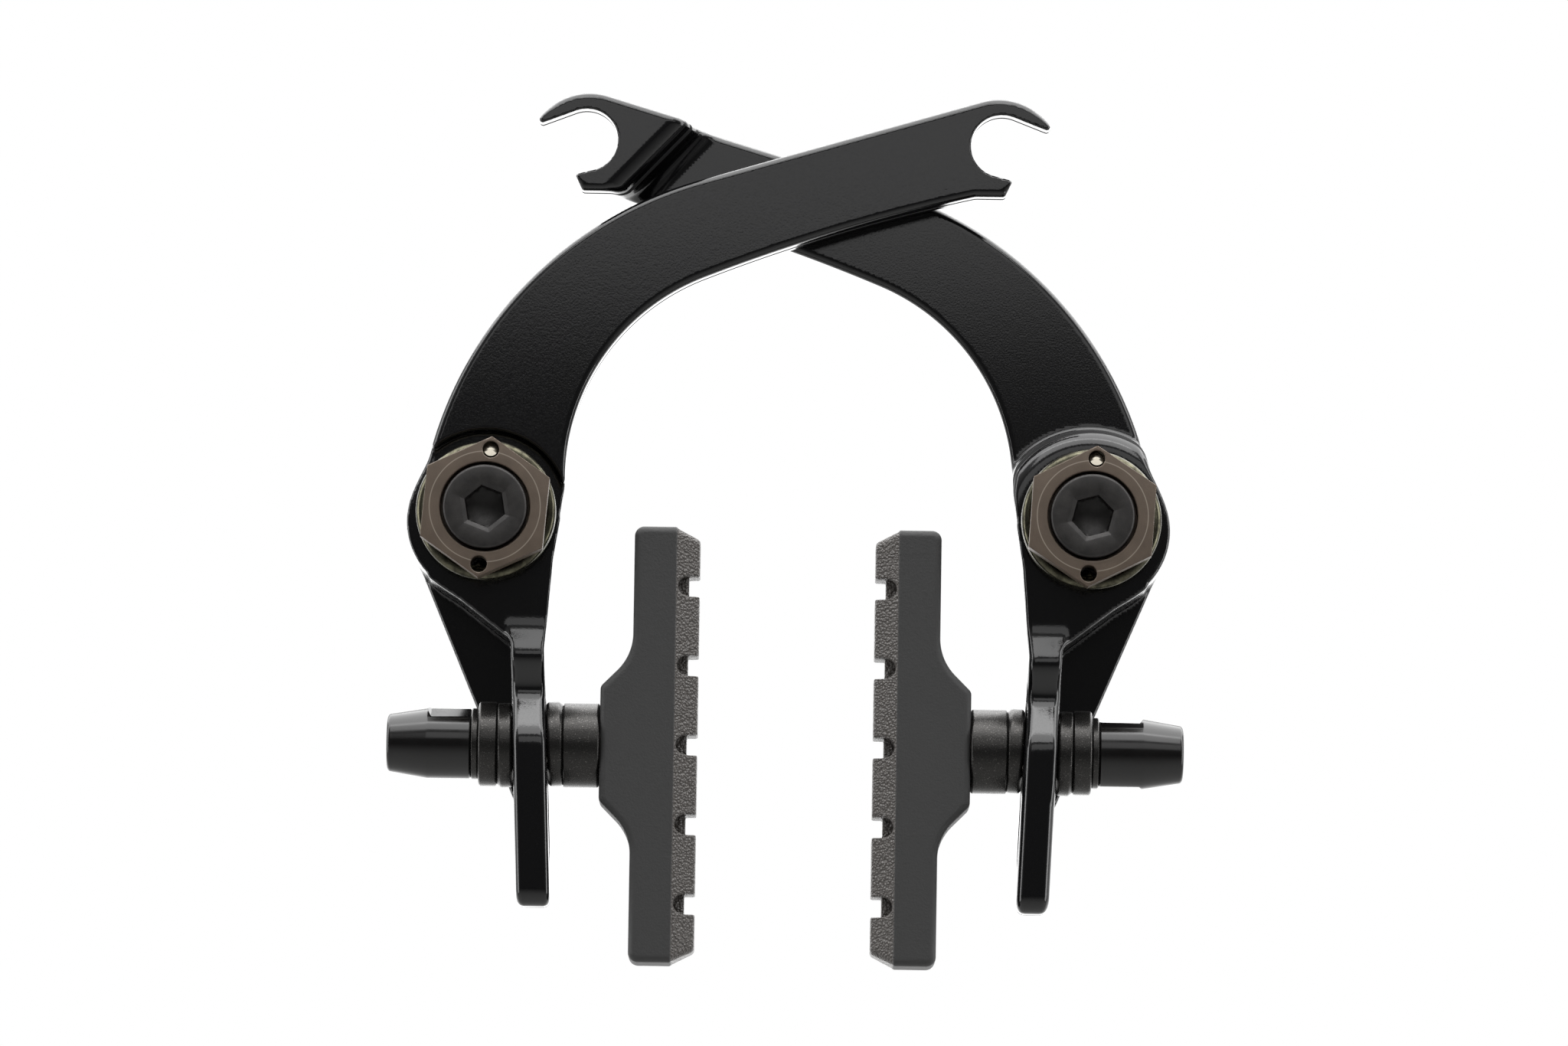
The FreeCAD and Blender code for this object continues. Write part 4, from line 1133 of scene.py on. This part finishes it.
class UBRAKE_OT_posts(bpy.types.Operator):
    """Build the two threaded posts of the pads, and finish the pivot bushings"""

    bl_idname = "ubrake.posts"
    bl_label = "Posts and Bushings"

    def execute(self, context):
        finish = turned_steel(context.scene.ubrake_finish)
        for side in SIDES:
            grid = post_grid(context.scene.ubrake_hardware.pitch / MM)
            mesh = grid_mesh(side + "_stud", side, grid, False)
            show(side + "_stud", mesh, finish, side + "_shoe", side + "_pad_post")
            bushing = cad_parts[side + "_pivot_bushing"]
            bushing.data.materials.clear()
            bushing.data.materials.append(finish)
        return {"FINISHED"}


PAD_OUTLINE = rounded_runs([
    (PAD_BACK, HUMP_TOP, 1.0), (PAD_WAIST, HUMP_FOOT, 7.0), (PAD_WAIST, PAD_END, 1.3), (FAR, PAD_END, CRISP),
    (FAR, -PAD_END, CRISP), (PAD_WAIST, -PAD_END, 1.3), (PAD_WAIST, -HUMP_FOOT, 7.0),
    (PAD_BACK, -HUMP_TOP, 1.0),
])


def pad_field(shape, u, y, z):
    """A pad as a field: a rounded back with a hump up to the rim, and a friction layer whose four sides lean
    in by 1.5 mm over its height, less five grooves with deeper round-ended scoops at both sides."""
    x, y, z = u - SHOE[0], y - SHOE[1], z - SHOE[2]
    edge = shape.edge_round / MM
    half = 0.5 * shape.groove_width / MM
    back = round_and(outline_field(PAD_OUTLINE, x, z), np.abs(y) - PAD_HALF, edge)
    back = round_and(back, x - TREAD_BASE, 0.2)
    lean = np.maximum(x - TREAD_BASE, 0) * TREAD_LEAN[0] / TREAD_LEAN[1]
    tilt = np.cos(np.arctan2(*TREAD_LEAN))
    sides = (np.abs(y) - (PAD_HALF - TREAD_INSET) + lean) * tilt
    ends = (np.abs(z) - (PAD_END - TREAD_INSET) + lean) * tilt
    tread = round_and(round_and(sides, ends, 0.8), x - TREAD_TOP, 0.35)
    tread = np.maximum(tread, TREAD_ROOT - x)
    along = np.abs((z / GROOVE_STEP + 0.5) % 1 - 0.5) * GROOVE_STEP
    along = np.where(np.abs(z) > 2.5 * GROOVE_STEP, np.abs(z) - 2 * GROOVE_STEP, along)
    groove = np.maximum(along - half, TREAD_TOP - shape.groove_depth / MM - x)
    centre = TREAD_TOP - SCOOP_DEPTH + half
    scoop = np.maximum(np.hypot(along, np.minimum(x - centre, 0)) - half, SCOOP_START - np.abs(y))
    pad = round_or(back, tread, 0.12)
    pad = round_and(pad, -groove, 0.2)
    pad = round_and(pad, -scoop, 0.2)
    return np.maximum(pad, -np.maximum(np.hypot(y, z) - POST_HOLE, x - POST_HOLE_END))


class UBRAKE_OT_pads(bpy.types.Operator):
    """Build the two moulded brake pads"""

    bl_idname = "ubrake.pads"
    bl_label = "Brake Pads"

    def execute(self, context):
        shape = context.scene.ubrake_pad
        finish = brake_rubber(context.scene.ubrake_finish)
        for side in SIDES:
            def field(u, y, z):
                return pad_field(shape, u, y, z)
            low, high = SHOE + (PAD_BACK, -PAD_HALF, -PAD_END), SHOE + (TREAD_TOP, PAD_HALF, PAD_END)
            mesh = field_mesh(side + "_rubber_pad", side, field, low, high, shape.cell / MM)
            show(side + "_rubber_pad", mesh, finish, side + "_shoe", side + "_brake_pad")
        return {"FINISHED"}


def stand(right, up, back, spot):
    """A matrix with three axes as its columns and a place."""
    return Matrix([[right[row], up[row], back[row], spot[row]] for row in range(3)] + [[0, 0, 0, 1]])


def aim(spot):
    """A lamp's matrix at a spot, with its -Z axis towards the origin."""
    back = np.array(spot) / np.linalg.norm(spot)
    right = np.cross((0, 0, 1), back)
    right /= np.linalg.norm(right)
    return stand(right, np.cross(back, right), back, spot)


class UBRAKE_OT_stage(bpy.types.Operator):
    """Set up the camera, the softboxes, the white world and the pale floor"""

    bl_idname = "ubrake.stage"
    bl_label = "Stage"

    def execute(self, context):
        scene = context.scene
        setup = scene.ubrake_studio
        scene.view_settings.view_transform = "Standard"
        # The frame's pixel for the point midway between the bolt heads sits over that point
        focus = setup.distance / MM * HEADS_APART / (2 * PIVOT)
        ahead = np.array((0, np.cos(setup.pitch), np.sin(setup.pitch)))
        level, rise = np.array((1.0, 0, 0)), np.array((0, -np.sin(setup.pitch), np.cos(setup.pitch)))
        right = level * np.cos(setup.roll) + rise * np.sin(setup.roll)
        up = rise * np.cos(setup.roll) - level * np.sin(setup.roll)
        off = np.array(HEADS_MIDDLE) - 0.5 * np.array(FRAME)
        ray = ahead + off[0] / focus * right - off[1] / focus * up
        spot = np.array((0, BOLT_FRONT * MM, 0)) - setup.distance * ray
        camera = bpy.data.objects.new("camera", bpy.data.cameras.new("camera"))
        camera.data.sensor_width = SENSOR
        camera.data.lens = SENSOR * focus / FRAME[0]
        camera.data.clip_start = 0.01
        camera.matrix_world = stand(right, up, -ahead, spot)
        scene.collection.objects.link(camera)
        scene.camera = camera
        for name, (spot, size, source) in LAMPS.items():
            lamp = bpy.data.objects.new(name, bpy.data.lights.new(name, "AREA"))
            lamp.data.shape = "RECTANGLE"
            lamp.data.size, lamp.data.size_y = size
            lamp.data.energy = getattr(setup, source)
            lamp.visible_camera = False
            lamp.matrix_world = aim(spot)
            scene.collection.objects.link(lamp)
        self.floor(scene)
        self.world(scene)
        return {"FINISHED"}

    def floor(self, scene):
        """Matt grey paper below the camera, whose far part is shown white to the camera and, behind the
        brake, in reflections."""
        mesh = bpy.data.meshes.new("floor")
        signs = [(-1, -1), (1, -1), (1, 1), (-1, 1)]
        corners = [(FLOOR_REACH * x, FLOOR_REACH * y, FLOOR_Z) for x, y in signs]
        mesh.from_pydata(corners, [], [(0, 1, 2, 3)])
        material, tree, spot = start_material("matt_grey_paper")
        fibre = add(tree, "ShaderNodeTexNoise", {"Vector": spot, "Scale": per_mm(2.0)})
        bump = add(tree, "ShaderNodeBump", {"Height": fibre, "Strength": 0.05, "Distance": 0.2 * MM})
        reach = add(tree, "ShaderNodeVectorMath", [spot], operation="LENGTH")
        away = add(tree, "ShaderNodeMapRange", [reach, 0.5, 0.9, 0.0, 1.0])
        rays = add(tree, "ShaderNodeLightPath").outputs
        depth = add(tree, "ShaderNodeSeparateXYZ", [spot]).outputs["Y"]
        behind = add(tree, "ShaderNodeMapRange", [depth, 0.1, 0.6, 0.0, 1.0])
        sharp = [rays["Is Glossy Ray"], rays["Is Transmission Ray"]]
        sharp = add(tree, "ShaderNodeMath", sharp, operation="MAXIMUM")
        sharp = add(tree, "ShaderNodeMath", [sharp, behind], operation="MULTIPLY")
        seen = add(tree, "ShaderNodeMath", [rays["Is Camera Ray"], sharp], operation="MAXIMUM")
        glow = add(tree, "ShaderNodeMath", [away, seen], operation="MULTIPLY")
        shader = add(tree, "ShaderNodeBsdfPrincipled", {
            "Base Color": linear("#a2a2a1"), "Roughness": 0.9, "Normal": bump,
            "Emission Color": WHITE, "Emission Strength": glow})
        add(tree, "ShaderNodeOutputMaterial", {"Surface": shader})
        mesh.materials.append(material)
        floor = bpy.data.objects.new("floor", mesh)
        scene.collection.objects.link(floor)

    def world(self, scene):
        """White to the camera; in reflections white above and behind, and dark below and in front, as the
        room behind a camera is; soft grey as light."""
        world = bpy.data.worlds.new("studio")
        scene.world = world
        world.use_nodes = True
        tree = world.node_tree
        tree.nodes.clear()
        rays = add(tree, "ShaderNodeLightPath").outputs
        facing = add(tree, "ShaderNodeTexCoord").outputs["Generated"]
        behind = add(tree, "ShaderNodeVectorMath", [facing, BACK_AND_UP], operation="DOT_PRODUCT")
        seen = add(tree, "ShaderNodeMapRange", [behind, -0.5, 0.3, 0.10, 1.0])
        seen = add(tree, "ShaderNodeMath", [seen, rays["Is Camera Ray"]], operation="MAXIMUM")
        sharp = [rays["Is Glossy Ray"], rays["Is Transmission Ray"]]
        sharp = add(tree, "ShaderNodeMath", sharp, operation="MAXIMUM")
        sharp = add(tree, "ShaderNodeMath", [sharp, rays["Is Camera Ray"]], operation="MAXIMUM")
        strength = add(tree, "ShaderNodeMix", {"Factor": sharp, NUMBER_A: AMBIENT, NUMBER_B: seen})
        sky = add(tree, "ShaderNodeBackground", {"Color": WHITE, "Strength": strength})
        add(tree, "ShaderNodeOutputWorld", {"Surface": sky})


class UBRAKE_PT_panel(bpy.types.Panel):
    """The U-brake's pieces and sizes in the sidebar"""

    bl_label = "U-Brake"
    bl_idname = "UBRAKE_PT_panel"
    bl_space_type = "VIEW_3D"
    bl_region_type = "UI"
    bl_category = "U-Brake"

    def draw(self, context):
        for operator in OPERATORS:
            self.layout.operator(operator.bl_idname)
        for name in GROUPS:
            group = getattr(context.scene, name)
            for key in group.__annotations__:
                self.layout.prop(group, key)


OPERATORS = (
    UBRAKE_OT_stage, UBRAKE_OT_arms, UBRAKE_OT_spring_nuts, UBRAKE_OT_bolts, UBRAKE_OT_springs,
    UBRAKE_OT_washers, UBRAKE_OT_pad_nuts, UBRAKE_OT_posts, UBRAKE_OT_pads,
)
GROUPS = {
    "ubrake_arm": ArmShape, "ubrake_hardware": HardwareShape, "ubrake_pad": PadShape,
    "ubrake_finish": Finishes, "ubrake_studio": StudioSetup,
}


def register():
    """Registers the property groups, the operators and the panel."""
    for name, group in GROUPS.items():
        bpy.utils.register_class(group)
        setattr(bpy.types.Scene, name, bpy.props.PointerProperty(type=group))
    for operator in OPERATORS:
        bpy.utils.register_class(operator)
    bpy.utils.register_class(UBRAKE_PT_panel)


def unregister():
    """Takes the classes and the scene's properties away again."""
    bpy.utils.unregister_class(UBRAKE_PT_panel)
    for operator in OPERATORS:
        bpy.utils.unregister_class(operator)
    for name, group in GROUPS.items():
        delattr(bpy.types.Scene, name)
        bpy.utils.unregister_class(group)


def main():
    register()
    for operator in OPERATORS:
        group, name = operator.bl_idname.split(".")
        getattr(getattr(bpy.ops, group), name)()


if __name__ == "__main__":
    main()
